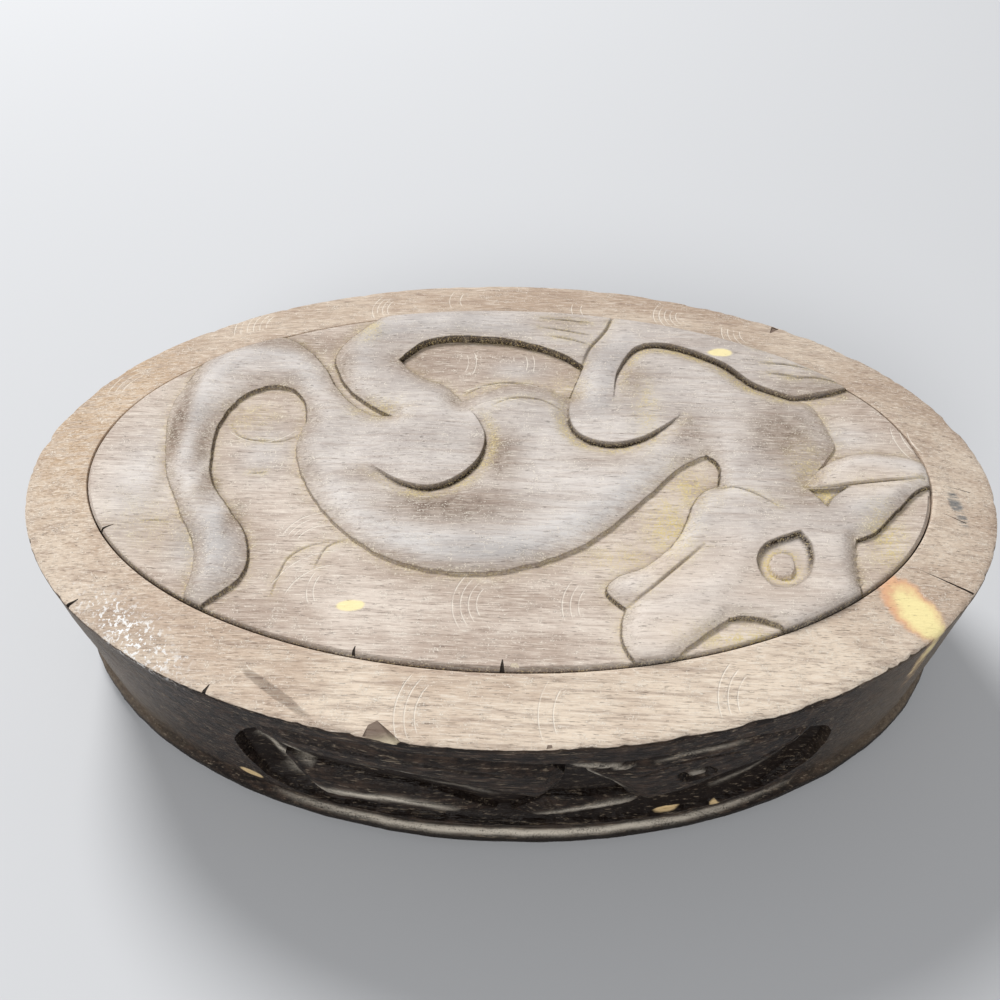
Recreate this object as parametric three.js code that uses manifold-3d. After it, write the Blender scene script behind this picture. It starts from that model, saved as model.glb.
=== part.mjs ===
// An oval trinket box carved from one block of dark wood, with a loose carved lid let into its rim.
// Millimetres. +Z is up, +X runs along the length, and the carved side panel faces -Y.
// The origin is the middle of the flat underside.

import * as THREE from 'three';
import { mergeVertices } from 'three/addons/utils/BufferGeometryUtils.js';
import Module from 'manifold-3d';

const wasm = await Module();
wasm.setup();

// Box body
const boxLength = 200;
const boxWidth = 123;
const rimHeight = 50; // at the rim's inner edge
const rimWidth = 13.4;
const rimFall = 2.5; // drop of the rim's top from its inner to its outer edge
const sideLean = 2; // how far the side leans in between rim and underside
const baseRound = 6;
const floorThickness = 8;
const floorFillet = 5;
const ledgeWidth = 4; // seat that carries the lid

// Lid
const lidThickness = 8; // from the underside to the sunk ground of the carving
const lidProud = 0.6; // ground of the carving above the rim's inner edge
const lidSideGap = 0.5;
const lidSeatGap = 0.3;
const lidEdgeRound = 1.2;

// Carving on the lid
const reliefHeight = 1.5; // animal above the ground
const gougeDepth = 1.3; // deep cuts under the legs and thigh
const lineDepth = 0.7; // thin cuts such as mouth, brow and ear

// Carved panel in the front side
const panelDepth = 3;
const panelRelief = 2; // leaves and head above the panel's floor

// Fineness of the faceted forms
const ovalSteps = 96;
const arcSteps = 4;
const stepsPerPoint = 2;

// Worked out from the sizes above
const halfLength = boxLength / 2;
const narrowing = (boxLength - boxWidth) / 2; // half-length less half-width, the same on every ring
const rimOuterHeight = rimHeight - rimFall;
const seatHalf = halfLength - rimWidth;
const cavityHalf = seatHalf - ledgeWidth;
const lidHalf = seatHalf - lidSideGap;
const groundHeight = rimHeight + lidProud;
const lidUnderside = groundHeight - lidThickness;
const ledgeHeight = lidUnderside - lidSeatGap;
const reliefTop = groundHeight + reliefHeight;

// The lid and panel that the carving's points below are laid out on
const drawnLid = { halfLength: 86.1, halfWidth: 47.6 };
const drawnSide = { halfLength: 100, height: 50 };

const clear = 5; // how far a cutting form reaches past the surface that it cuts

function onLid([x, y]) {
  const lidHalfWidth = lidHalf - narrowing;
  return new THREE.Vector2((x * lidHalf) / drawnLid.halfLength, (y * lidHalfWidth) / drawnLid.halfWidth);
}

function onSide([x, z]) {
  return new THREE.Vector2((x * halfLength) / drawnSide.halfLength, (z * rimHeight) / drawnSide.height);
}

// Half-length of the leaning side at a height
function sideAt(height) {
  return halfLength - sideLean * (1 - height / rimOuterHeight);
}

function quarterArc(centre, radius, startAngle, endAngle) {
  const steps = [...Array(arcSteps + 1).keys()];
  return steps.map((step) => {
    const angle = startAngle + ((endAngle - startAngle) * step) / arcSteps;
    return [centre[0] + radius * Math.cos(angle), centre[1] + radius * Math.sin(angle)];
  });
}

function solidOf(geometry) {
  const bare = geometry.clone();
  bare.deleteAttribute('normal');
  bare.deleteAttribute('uv');
  const merged = mergeVertices(bare, 1e-4);
  const corners = merged.index.array;
  const triangles = [];
  for (let i = 0; i < corners.length; i += 3) {
    const [a, b, c] = [corners[i], corners[i + 1], corners[i + 2]];
    if (a !== b && b !== c && c !== a) triangles.push(a, b, c);
  }
  return new wasm.Manifold(new wasm.Mesh({
    numProp: 3,
    vertProperties: new Float32Array(merged.attributes.position.array),
    triVerts: new Uint32Array(triangles),
  }));
}

// A turned form squeezed to an oval: each profile point is [half-length, height], and every ring
// is narrower than it is long by the same amount, so walls and rims keep one width all round
function ovalForm(profile) {
  const points = profile.map(([reach, height]) => new THREE.Vector2(reach, height));
  const geometry = new THREE.LatheGeometry(points, ovalSteps);
  geometry.rotateX(Math.PI / 2);
  const place = geometry.attributes.position;
  for (let i = 0; i < place.count; i += 1) {
    const reach = Math.hypot(place.getX(i), place.getY(i));
    if (reach > narrowing) place.setY(i, (place.getY(i) * (reach - narrowing)) / reach);
  }
  return solidOf(geometry);
}

// A closed shape from smooth stretches of points that meet at corners
function outline(stretches, place) {
  const points = stretches.flatMap((stretch, i) => {
    const corner = stretches[(i + 1) % stretches.length][0];
    const knots = [...stretch, corner].map(place);
    return new THREE.SplineCurve(knots).getPoints((knots.length - 1) * stepsPerPoint).slice(0, -1);
  });
  return new THREE.Shape(points);
}

// A sickle-shaped cut: one side follows the points, and the other swells out to the given width
function sickle(path, width, place) {
  const spine = new THREE.SplineCurve(path.map(place));
  const steps = (path.length - 1) * stepsPerPoint;
  const near = spine.getPoints(steps);
  const far = near.map((point, i) => {
    const tangent = spine.getTangent(i / steps);
    const swell = width * Math.sin((Math.PI * i) / steps);
    return new THREE.Vector2(point.x + tangent.y * swell, point.y - tangent.x * swell);
  });
  return new THREE.Shape([...near, ...far.slice(1, -1).reverse()]);
}

// A shape on the lid raised between two heights
function upright(shape, low, high) {
  const geometry = new THREE.ExtrudeGeometry(shape, { depth: high - low, bevelEnabled: false });
  geometry.translate(0, 0, low);
  return solidOf(geometry);
}

// A shape drawn on the front side, from the middle of the box out past its front
function frontward(shape) {
  const geometry = new THREE.ExtrudeGeometry(shape, { depth: boxWidth / 2 + clear, bevelEnabled: false });
  geometry.rotateX(Math.PI / 2);
  return solidOf(geometry);
}

// The inside of the leaning side, set in by a depth
function sideCore(depth) {
  const low = -clear;
  const high = rimHeight + clear;
  return ovalForm([[0, low], [sideAt(low) - depth, low], [sideAt(high) - depth, high], [0, high]]);
}

function namedMesh(name, solid, colour, roughness) {
  const { vertProperties, triVerts } = solid.getMesh();
  const geometry = new THREE.BufferGeometry();
  geometry.setAttribute('position', new THREE.BufferAttribute(vertProperties, 3));
  geometry.setIndex(new THREE.BufferAttribute(triVerts, 1));
  geometry.computeVertexNormals();
  const material = new THREE.MeshStandardMaterial({ color: colour, roughness, metalness: 0 });
  const mesh = new THREE.Mesh(geometry, material);
  mesh.name = name;
  return mesh;
}

// The animal's outline: tail, belly, throat, snout, jaw, head, ear, neck, legs and back to the tail.
// Where it meets the lid's edge it runs past, and the lid's oval trims it.
const animal = outline([
  [[-54.5, -37], [-49, -31.5], [-47.8, -26], [-50, -19.5]],
  [[-55.5, -12.5], [-59.5, -6.5], [-61.2, 2], [-61.3, 9], [-58.5, 16.5], [-53, 20.6], [-47.5, 20],
    [-43.7, 15.5], [-42.8, 10], [-43.5, 3], [-41, -5], [-33.5, -15.5], [-21.5, -24.5], [-8, -27.5],
    [4.5, -26], [17.5, -19.5], [28.5, -8.5], [36.5, 0.5]],
  [[42, 4], [44.5, 0.5]],
  [[43.5, -4], [40, -6], [37, -12.5], [33, -19.5], [27.5, -24.5], [21.5, -28], [21, -32]],
  [[24.5, -33.8], [23.3, -38], [25, -43], [28, -47]],
  [[32, -46.5], [37.5, -38.5], [43.5, -34.7], [49, -34.8], [57, -39]],
  [[72, -36]],
  [[68, -29], [68.2, -22]],
  [[69, -16], [75.5, -11.5], [80.5, -5.5], [84, -2.5]],
  [[92, -1]],
  [[90, 3], [83.5, 4.5], [78, 6.5], [73.5, 6], [66, 1.5]],
  [[61.5, -2], [65.5, 2.5], [68.3, 7], [67.5, 12], [65.5, 18]],
  [[62.5, 20.8], [70, 22.5]],
  [[82, 29]],
  [[60, 52]],
  [[-28, 56]],
  [[-31, 43.5], [-34.5, 39.5], [-37.5, 35.5]],
  [[-39.2, 31.5], [-38.8, 27.5], [-35, 20.5], [-30, 16]],
  [[-24.5, 12.3], [-30, 12.8], [-34.5, 15.5], [-40, 26], [-46.5, 35]],
  [[-51.5, 44]],
  [[-74, 34]],
  [[-70.5, 26.5], [-72.5, 18.5], [-73, 12], [-71.5, 4], [-69, -5], [-64, -14.5], [-60, -21], [-57.8, -28]],
  [[-58.5, -40]],
], onLid);

// Sunk ground between the hind leg, the thigh, the back and the foreleg
const betweenLegs = outline([
  [[-25, 29.8], [-19.5, 35.5], [-12, 37.5], [-2.5, 37], [4.5, 35.5], [11.5, 32.5]],
  [[16.5, 28.8], [15.3, 24.5]],
  [[13.8, 19.5], [5, 23.5], [-3, 22]],
  [[-9.5, 17.5], [-14, 22], [-20, 25]],
], onLid);

const gouges = [
  { path: [[-7, 13], [-4.5, 7.5], [-6, 0.5], [-11, -5.2], [-19, -6], [-26.5, -1.5]], width: -2.4 },
  { path: [[13.8, 19], [14, 13.5], [18, 8.2], [24.5, 7], [30, 9.8], [36.5, 14]], width: 2.2 },
  { path: [[23, 19.5], [24, 27], [28.5, 35], [36, 36], [47, 30.5], [54, 24], [62, 21.4]], width: 2.2 },
];

const fineLines = [
  { path: [[24.5, 50], [22, 41], [18, 34], [16.3, 28]], width: 0.9 },
  { path: [[24, -34], [30, -28], [36, -22.5], [39.5, -18.5]], width: 1.1 },
  { path: [[43, -4.3], [47, -4.6], [50.5, -5.6], [54.5, -7.8]], width: 1 },
  { path: [[62.5, -1.8], [70, 0], [78, 0.8], [84.5, 3]], width: -0.9 },
  { path: [[65.3, -7.5], [67.5, -4.5], [74.5, -1.5], [83, 0.2]], width: 0.9 },
];

const earPit = outline([[[61.8, -2.2], [62.8, -5.2]], [[65.3, -8.6], [67, -4.4]]], onLid);

function eyeRing() {
  const eye = outline([[[58.6, -14.2], [60.3, -20], [58.6, -26.6], [53.6, -27], [49.8, -22.2], [52.5, -17.3]]], onLid);
  const pupil = outline([[[52.4, -22.5], [54.4, -25.4], [57, -23], [55, -20.2]]], onLid);
  eye.holes.push(pupil);
  return eye;
}

function boxBody() {
  const quarter = Math.PI / 2;
  const footHalf = sideAt(baseRound) - baseRound;
  const body = ovalForm([
    [0, 0],
    ...quarterArc([footHalf, baseRound], baseRound, -quarter, 0),
    [halfLength, rimOuterHeight],
    [seatHalf, rimHeight],
    [seatHalf, ledgeHeight],
    [cavityHalf, ledgeHeight],
    ...quarterArc([cavityHalf - floorFillet, floorThickness + floorFillet], floorFillet, 0, -quarter),
    [0, floorThickness],
  ]);

  const panel = frontward(outline([
    [[-51, 25], [-48, 34], [-42, 41], [-33, 42], [-10, 42.5], [8, 40], [25, 39], [44, 41], [54, 41], [62, 35], [66, 25],
      [62, 15], [48, 8.5], [30, 8], [10, 9.5], [-20, 8.5], [-38, 9.5], [-47, 15]],
  ], onSide));
  const upperLeaf = frontward(outline([
    [[-45, 36], [-28, 38.5], [-8, 38], [10, 35]],
    [[18, 30], [12, 24.5], [-4, 26.5], [-22, 30.5], [-34, 33]],
  ], onSide));
  const lowerLeaf = frontward(outline([
    [[-41, 28], [-24, 27.5], [-6, 24.5], [6, 19]],
    [[11, 14.5], [-4, 12.5], [-20, 14], [-34, 19]],
  ], onSide));
  const head = frontward(outline([
    [[14, 38], [22, 37.5]],
    [[27, 37], [38, 38.5], [50, 37.5]],
    [[60, 34], [54, 26], [44, 17.5], [30, 14], [20, 13.5]],
    [[14, 15], [24, 22], [24, 29]],
  ], onSide));
  const eyeHole = frontward(outline([[[34.5, 27], [38.5, 30], [43.5, 28], [39, 24.5]]], onSide));
  const raised = upperLeaf.add(lowerLeaf).add(head.subtract(eyeHole));
  const cut = panel.subtract(sideCore(panelDepth)).subtract(raised.intersect(sideCore(panelDepth - panelRelief)));
  return body.subtract(cut);
}

function lid() {
  const quarter = Math.PI / 2;
  const edge = quarterArc([lidHalf - lidEdgeRound, groundHeight - lidEdgeRound], lidEdgeRound, 0, quarter);
  const plate = ovalForm([[0, lidUnderside], [lidHalf, lidUnderside], ...edge, [0, groundHeight]]);

  const middle = lidUnderside + lidThickness / 2;
  const lidTrim = ovalForm([
    [0, lidUnderside],
    [lidHalf - lidEdgeRound, lidUnderside],
    [lidHalf - lidEdgeRound, reliefTop + clear],
    [0, reliefTop + clear],
  ]);
  animal.holes.push(betweenLegs);
  let carved = plate.add(upright(animal, middle, reliefTop).intersect(lidTrim));
  for (const { path, width } of gouges) {
    carved = carved.subtract(upright(sickle(path, width, onLid), reliefTop - gougeDepth, reliefTop + clear));
  }
  for (const { path, width } of fineLines) {
    carved = carved.subtract(upright(sickle(path, width, onLid), reliefTop - lineDepth, reliefTop + clear));
  }
  for (const pit of [earPit, eyeRing()]) {
    carved = carved.subtract(upright(pit, reliefTop - gougeDepth, reliefTop + clear));
  }
  return carved;
}

const trinketBox = new THREE.Group();
trinketBox.add(namedMesh('box_body', boxBody(), 0x5b4a40, 0.7));
trinketBox.add(namedMesh('lid', lid(), 0x6a5d57, 0.6));

export default trinketBox;
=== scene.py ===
import math

import bpy
import numpy as np
from mathutils import Matrix, Vector, noise


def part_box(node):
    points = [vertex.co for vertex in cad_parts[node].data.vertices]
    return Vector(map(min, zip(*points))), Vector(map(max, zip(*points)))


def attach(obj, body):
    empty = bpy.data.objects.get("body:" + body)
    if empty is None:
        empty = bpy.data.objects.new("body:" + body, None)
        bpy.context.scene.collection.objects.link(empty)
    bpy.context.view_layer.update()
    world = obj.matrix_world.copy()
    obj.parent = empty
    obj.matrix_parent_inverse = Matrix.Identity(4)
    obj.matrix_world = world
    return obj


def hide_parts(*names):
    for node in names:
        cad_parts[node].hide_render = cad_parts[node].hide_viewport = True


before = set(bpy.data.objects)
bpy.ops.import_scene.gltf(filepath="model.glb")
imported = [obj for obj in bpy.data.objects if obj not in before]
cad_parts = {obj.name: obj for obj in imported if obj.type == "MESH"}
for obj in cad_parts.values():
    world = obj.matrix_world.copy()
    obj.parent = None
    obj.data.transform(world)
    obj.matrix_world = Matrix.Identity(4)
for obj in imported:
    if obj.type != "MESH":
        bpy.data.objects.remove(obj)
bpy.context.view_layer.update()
noise.seed_set(7)  # so that the waver of the cuts is the same each run

mm = 0.001
blockLow, blockHigh = (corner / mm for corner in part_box("box_body"))
lidLow, lidHigh = (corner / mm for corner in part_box("lid"))
halfLength, halfWidth, rimHeight = blockHigh
narrowing = halfLength - halfWidth  # half-length less half-width, the same on every ring of the box
lidHalf, lidHalfWidth = lidHigh.x + 0.2, lidHigh.y + 0.2  # the lid has worn to a close fit in its seat
print(f"frame: box {2 * halfLength:.0f} by {2 * halfWidth:.0f} mm, lid {2 * lidHalf:.0f} mm long")


# Curves and distances, in millimetres

atEdge = 0.02  # a point this near an edge counts as on it


def smoothPath(points, spacing=0.5):
    # a curve through given points, as a row of close points
    knots = np.array(points, float)
    last = len(knots) - 1
    row = []
    for i in range(last):
        before, here, there, after = (knots[min(max(k, 0), last)] for k in (i - 1, i, i + 1, i + 2))
        count = max(2, math.ceil(np.linalg.norm(there - here) / spacing))
        t = (np.arange(count) / count)[:, None]
        startPull, endPull = (there - before) / 2, (after - here) / 2
        cubic = (2 * here - 2 * there + startPull + endPull) * t**3
        square = (3 * there - 3 * here - 2 * startPull - endPull) * t**2
        row.append(cubic + square + startPull * t + here)
    return np.vstack(row + [knots[-1:]])


def unsteady(path):
    # the small waver of a line cut by hand: a slow one and a quick one
    moved = path.copy()
    for amount, scale in ((0.2, 3.1), (0.1, 0.9)):
        shift = [noise.noise_vector(Vector((x / scale, y / scale, 4.7))) for x, y in path]
        moved += amount * np.array(shift)[:, :2]
    return moved


def closedPaths(stretches):
    # smooth stretches that meet at corners, each one as (step, rounding, path)
    paths = []
    for i, (step, rounding, points) in enumerate(stretches):
        corner = stretches[(i + 1) % len(stretches)][2][0]
        paths.append((step, rounding, unsteady(smoothPath(points + [corner]))))
    return paths


def polygonOf(paths):
    return np.vstack([path[:-1] for *_, path in paths])


def inside(place, polygon):
    crossed = np.zeros(len(place), bool)
    for a, b in zip(polygon, np.roll(polygon, -1, axis=0)):
        if a[1] == b[1]:
            continue
        spans = (a[1] > place[:, 1]) != (b[1] > place[:, 1])
        reach = a[0] + (place[:, 1] - a[1]) / (b[1] - a[1]) * (b[0] - a[0])
        crossed ^= spans & (place[:, 0] < reach)
    return crossed


def measure(place, path, margin=12):
    # distance to a path, the side of it, the share along it, and the nearest point
    distance = np.full(len(place), 1e3)
    side = np.ones(len(place))
    share = np.zeros(len(place))
    foot = place.copy()
    near = np.flatnonzero(np.all((place > path.min(0) - margin) & (place < path.max(0) + margin), axis=1))
    if not len(near):
        return distance, side, share, foot
    spot = place[near]
    lengths = np.linalg.norm(np.diff(path, axis=0), axis=1)
    along = np.concatenate([[0], np.cumsum(lengths)])
    for i, length in enumerate(lengths):
        run = path[i + 1] - path[i]
        t = np.clip(((spot - path[i]) @ run) / length**2, 0, 1)
        point = path[i] + t[:, None] * run
        gap = spot - point
        span = np.hypot(gap[:, 0], gap[:, 1])
        closer = span < distance[near]
        hit = near[closer]
        distance[hit] = span[closer]
        side[hit] = np.where(run[0] * gap[closer, 1] - run[1] * gap[closer, 0] >= 0, 1, -1)
        share[hit] = (along[i] + t[closer] * length) / along[-1]
        foot[hit] = point[closer]
    return distance, side, share, foot


def rounded(t):
    # rises steeply from 0 and levels off at 1, as a rounded edge does
    return np.sqrt(1 - (1 - np.clip(t, 0, 1)) ** 2)


def eased(value, low, high):
    t = np.clip((value - low) / (high - low), 0, 1)
    return t * t * (3 - 2 * t)


def tapered(along, power, end=0.0):
    # 1 in the middle of a stroke and less towards its ends
    return np.sin(np.pi * np.clip(along, end, 1 - end)) ** power


def mound(place, centre, reach):
    # a soft dome of height 1 at its centre
    return np.exp(-(((place - np.array(centre)) / np.array(reach)) ** 2).sum(1))


def roughness(place, scale, seed, along=1.0):
    # smooth hand-work unevenness between about -1 and 1, drawn out along the grain where along is below 1
    drawn = place * np.array([along, 1, 1])
    return np.array([noise.noise(Vector((x / scale, y / scale, z / scale + seed))) for x, y, z in drawn])


def raisedForm(place, paths):
    # share of full height inside a closed form: each edge has a step and a rounding of its own
    form = np.ones(len(place))
    stepSum = np.zeros(len(place))
    weightSum = np.full(len(place), 1e-9)
    nearest = np.full(len(place), 1e3)
    for step, rounding, path in paths:
        distance, *_ = measure(place, path)
        form *= np.sin(np.pi / 2 * np.clip(distance / rounding, 0, 1))
        weight = np.exp(-distance / 1.5)
        stepSum += step * weight
        weightSum += weight
        nearest = np.minimum(nearest, distance)
    step = stepSum / weightSum
    return np.clip(step + (1 - step) * form, 0, 1), nearest


# Mesh work

def deselectAll():
    bpy.ops.object.select_all(action="DESELECT")


def activate(piece):
    deselectAll()
    piece.select_set(True)
    bpy.context.view_layer.objects.active = piece


def coordinates(mesh):
    place = np.empty(len(mesh.vertices) * 3)
    mesh.vertices.foreach_get("co", place)
    return place.reshape(-1, 3) / mm


def moveVertices(mesh, place):
    mesh.vertices.foreach_set("co", (place * mm).ravel())
    mesh.update()


def faceCentres(mesh):
    centre = np.empty(len(mesh.polygons) * 3)
    mesh.polygons.foreach_get("center", centre)
    return centre.reshape(-1, 3) / mm


def subdivideFaces(piece, chosen):
    # cuts each chosen face in four
    activate(piece)
    mesh = piece.data
    bpy.context.tool_settings.mesh_select_mode = (False, False, True)
    for part in (mesh.vertices, mesh.edges):
        part.foreach_set("select", np.zeros(len(part), bool))
    mesh.polygons.foreach_set("select", chosen)
    bpy.ops.object.mode_set(mode="EDIT")
    bpy.ops.mesh.subdivide(number_cuts=1)
    bpy.ops.object.mode_set(mode="OBJECT")


def refineNear(piece, flatten, paths, bands):
    # finer faces along the cuts: each band is a distance inside which the faces are cut in four
    for band in bands:
        centre, usable = flatten(faceCentres(piece.data))
        near = np.full(len(centre), 1e3)
        for path in paths:
            distance, *_ = measure(centre, path, band + 1)
            near = np.minimum(near, distance)
        subdivideFaces(piece, (near < band) & usable)


def snapped(place, paths, reach):
    # moves the points that nearly lie on a path onto it, so that a cut has a clean edge
    best = np.full(len(place), reach)
    target = place.copy()
    for path in paths:
        distance, _, _, foot = measure(place, path, 1)
        closer = distance < best
        best[closer] = distance[closer]
        target[closer] = foot[closer]
    return target


def paintPoints(mesh, name, values):
    layer = mesh.attributes.get(name) or mesh.attributes.new(name, "FLOAT", "POINT")
    layer.data.foreach_set("value", values.astype(np.float32))


def facesOutward(piece):
    activate(piece)
    bpy.ops.object.mode_set(mode="EDIT")
    bpy.ops.mesh.select_all(action="SELECT")
    bpy.ops.mesh.normals_make_consistent(inside=False)
    bpy.ops.object.mode_set(mode="OBJECT")


def finishMesh(piece, angle=32):
    facesOutward(piece)
    bpy.ops.object.shade_smooth_by_angle(angle=math.radians(angle))


def cutAway(piece, cutters):
    # joins the cutting wedges, takes them out of the piece and marks the faces that they leave
    kinds = [bpy.data.materials.new(name) for name in ("whole", "chip", "crack")]
    for each in [piece] + cutters:
        for kind in kinds:
            each.data.materials.append(kind)
    deselectAll()
    for cutter in cutters:
        cutter.select_set(True)
    bpy.context.view_layer.objects.active = cutters[0]
    bpy.ops.object.join()
    tool = bpy.context.view_layer.objects.active
    facesOutward(piece)
    cut = piece.modifiers.new("nicks", "BOOLEAN")
    cut.operation = "DIFFERENCE"
    cut.solver = "EXACT"
    cut.object = tool
    bpy.ops.object.modifier_apply(modifier=cut.name)
    bpy.data.objects.remove(tool)
    mesh = piece.data
    print(f"{piece.name}: {len(mesh.polygons)} faces once nicked")
    left = np.empty(len(mesh.polygons), int)
    mesh.polygons.foreach_get("material_index", left)
    for number, name in ((1, "chip"), (2, "crack")):
        layer = mesh.attributes.new(name, "FLOAT", "FACE")
        layer.data.foreach_set("value", (left == number).astype(np.float32))
    mesh.polygons.foreach_set("material_index", np.zeros(len(left), int))
    mesh.materials.clear()
    for kind in kinds:
        bpy.data.materials.remove(kind)


def wedge(kind, x, y, top, width, length, depth, heading):
    # a three-sided cutter: its point is at (x, y) and it widens and deepens along the heading, in degrees
    bpy.ops.mesh.primitive_cylinder_add(vertices=3, radius=1, depth=2)
    cutter = bpy.context.active_object
    mesh = cutter.data
    place = coordinates(mesh) * mm
    tip = place[:, 1] > place[:, 1].max() - 1e-4
    local = np.empty_like(place)
    local[:, 0] = np.where(tip, 0, length)
    local[:, 1] = np.where(tip, 0, np.sign(place[:, 0]) * width / 2)
    # its top stands clear of the surface, and its point only just breaks it
    local[:, 2] = np.where(place[:, 2] > 0, 3, np.where(tip, -0.1, -depth))
    turn = Matrix.Rotation(math.radians(heading), 3, "Z")
    moveVertices(mesh, local @ np.array(turn).T + np.array([x, y, top]))
    mesh.polygons.foreach_set("material_index", np.full(len(mesh.polygons), kind))
    facesOutward(cutter)
    return cutter


# The block: one piece of wood, hollowed, with a broad rim and a carved panel in its front side

block = {
    "columns": 288,
    "rimWidth": 13.4,
    "rimFall": 2.5,
    "sideLean": 2.0,
    "underside": 92.3,  # half-length of the flat underside
    "footTop": 7.6,
    "floor": 8.0,
    "floorFillet": 5.0,
    "ledgeWidth": 4.0,
    "ledgeGap": 0.3,
    "outerArris": 0.9,
    "innerArris": 0.25,
    "wobble": 0.22,  # unevenness of the hand-cut side
    "facets": 0.1,  # marks of the knife on it
    "panelFacets": 0.08,  # and what the panel has on top of them
    "bite": 0.7,  # how far the rim's outer edge is bitten in
    "biteDrop": 0.5,  # and down
    "rimSway": 0.16,
    "rimRipple": 0.06,
    "gouging": 0.22,  # marks of the gouge on the floor of the cavity
    "panelDepth": 3.0,
    "pocketDepth": 1.3,
    "sideRows": 21,
    "rimRows": 9,
    "wallRows": 8,
    "filletRows": 5,
    "fineMargin": 1.5,  # the finer faces reach this far outside the panel
    "fineBands": [1.1],  # and are finer still this close to a cut
    "snapReach": 0.17,
}
rimOuter = rimHeight - block["rimFall"]  # height of the rim's outer edge
seatReach = halfLength - block["rimWidth"]  # half-length of the recess that the lid sits in

# The bead round the foot, from the underside up: inset from the rim's edge, height
footBead = [(5, 0.3), (2.9, 1.1), (1.3, 2.2), (0.4, 3.3), (0.05, 4.5), (0.25, 5.6), (0.9, 6.5), (1.5, 7.1)]

# Edges of the side panel and of what is carved in it: (step, rounding, points), points as (x, height)
panelForms = {
    "panel": [
        (0.55, 4.0, [[-48.6, 19.5], [-49.6, 27.5], [-46.5, 35], [-41, 41]]),
        (0.75, 2.5, [[-35, 43], [-20, 43.8], [-5, 43.4], [8, 41.5], [22, 40.4], [36, 41.2], [48, 41]]),
        (0.6, 3.5, [[57, 38], [62.8, 33], [65.4, 24.5], [63, 15.5]]),
        (0.3, 4.0, [[55, 10.4], [42, 9], [28, 9], [9, 9.4], [-10, 9.2], [-26, 8.8], [-37, 9.6],
                    [-45, 13.5]]),
    ],
    "upperLeaf": [
        (0.35, 4.5, [[-46, 34], [-38, 39.8], [-26, 41.5], [-14, 42], [-6, 41.6], [4, 38.6], [11, 35.6]]),
        (0.45, 3.5, [[14, 31.5], [12.5, 26]]),
        (0.5, 4.5, [[9, 20.4], [1, 24], [-6, 26.8], [-12, 29.2], [-17, 30], [-24, 29.7], [-36, 30.5]]),
    ],
    "lowerLeaf": [
        (0.35, 4.5, [[-41, 24], [-31, 22], [-24, 20.8], [-15, 20.3], [-8, 18.6]]),
        (0.3, 4.0, [[1, 12.4], [-5, 10.9], [-16, 9.8], [-26, 9.6], [-36, 10.4]]),
    ],
    "tipLeaf": [
        (0.4, 3.0, [[4, 12.6], [10, 18], [16, 18.9], [24, 18]]),
        (0.4, 3.0, [[33, 16.4], [28, 13.5], [20, 12], [10, 10.4]]),
    ],
    "ear": [
        (0.5, 2.0, [[13.2, 38.8], [20, 38], [27, 36.2]]),
        (0.6, 2.0, [[25.5, 33.2], [20, 34.6], [15.5, 36.4]]),
    ],
    "head": [
        (0.5, 3.5, [[27.6, 38.2], [34, 38.2], [46, 38.4], [54, 37.2]]),
        (0.6, 3.5, [[61.5, 33.4], [58.6, 27.6], [53.5, 23.6], [46, 21.8], [41, 18.9], [36, 17.2],
                    [30, 16.4]]),
        (0.15, 6.0, [[26.5, 20.5], [22.5, 26.5], [18.5, 31.5], [21, 34.5]]),
    ],
}
raisedBy = {"lowerLeaf": 2.3, "tipLeaf": 2.0, "upperLeaf": 2.5, "ear": 2.6, "head": 2.5}
sidePockets = [((-46.5, 26), (3.2, 8)), ((61.8, 24), (3.0, 8))]
sideEye = {"centre": [39.2, 26.8], "reach": [4.6, 3.3], "turn": -28, "depth": 1.5}
sideGrooves = [  # (half-width, depth, points)
    (1.0, 1.0, [[-40, 24.2], [-31, 22.2], [-24, 21], [-15, 20.6], [-8, 18.9]]),
    (1.1, 1.2, [[-34, 30], [-24, 29.3], [-17, 29.7], [-12, 28.8], [-6, 26.3], [1, 23.6], [8, 20], [13, 16]]),
    (1.0, 1.2, [[-16, 43], [-5, 42.4], [4, 39.6], [14, 36.4]]),
    (0.9, 1.2, [[28, 38.6], [36, 39], [46, 39.2], [54, 38], [60, 35.6]]),
    (1.0, 1.3, [[30, 15.8], [36, 16.6], [41, 18.2], [46, 21.1], [53, 22.6], [58.5, 26.6], [62, 32]]),
    (0.9, 1.0, [[8, 18.6], [16, 19.8], [23, 18.8], [32, 16.8]]),
    (0.6, 0.7, [[-38, 36.5], [-26, 37.6], [-12, 37], [2, 33.6]]),
    (0.5, 0.6, [[29, 31], [33, 33.6], [39, 34.4], [46, 33.2]]),
    (0.6, 0.8, [[52, 27.2], [56.5, 30.4], [59, 33.6]]),
]
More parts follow.
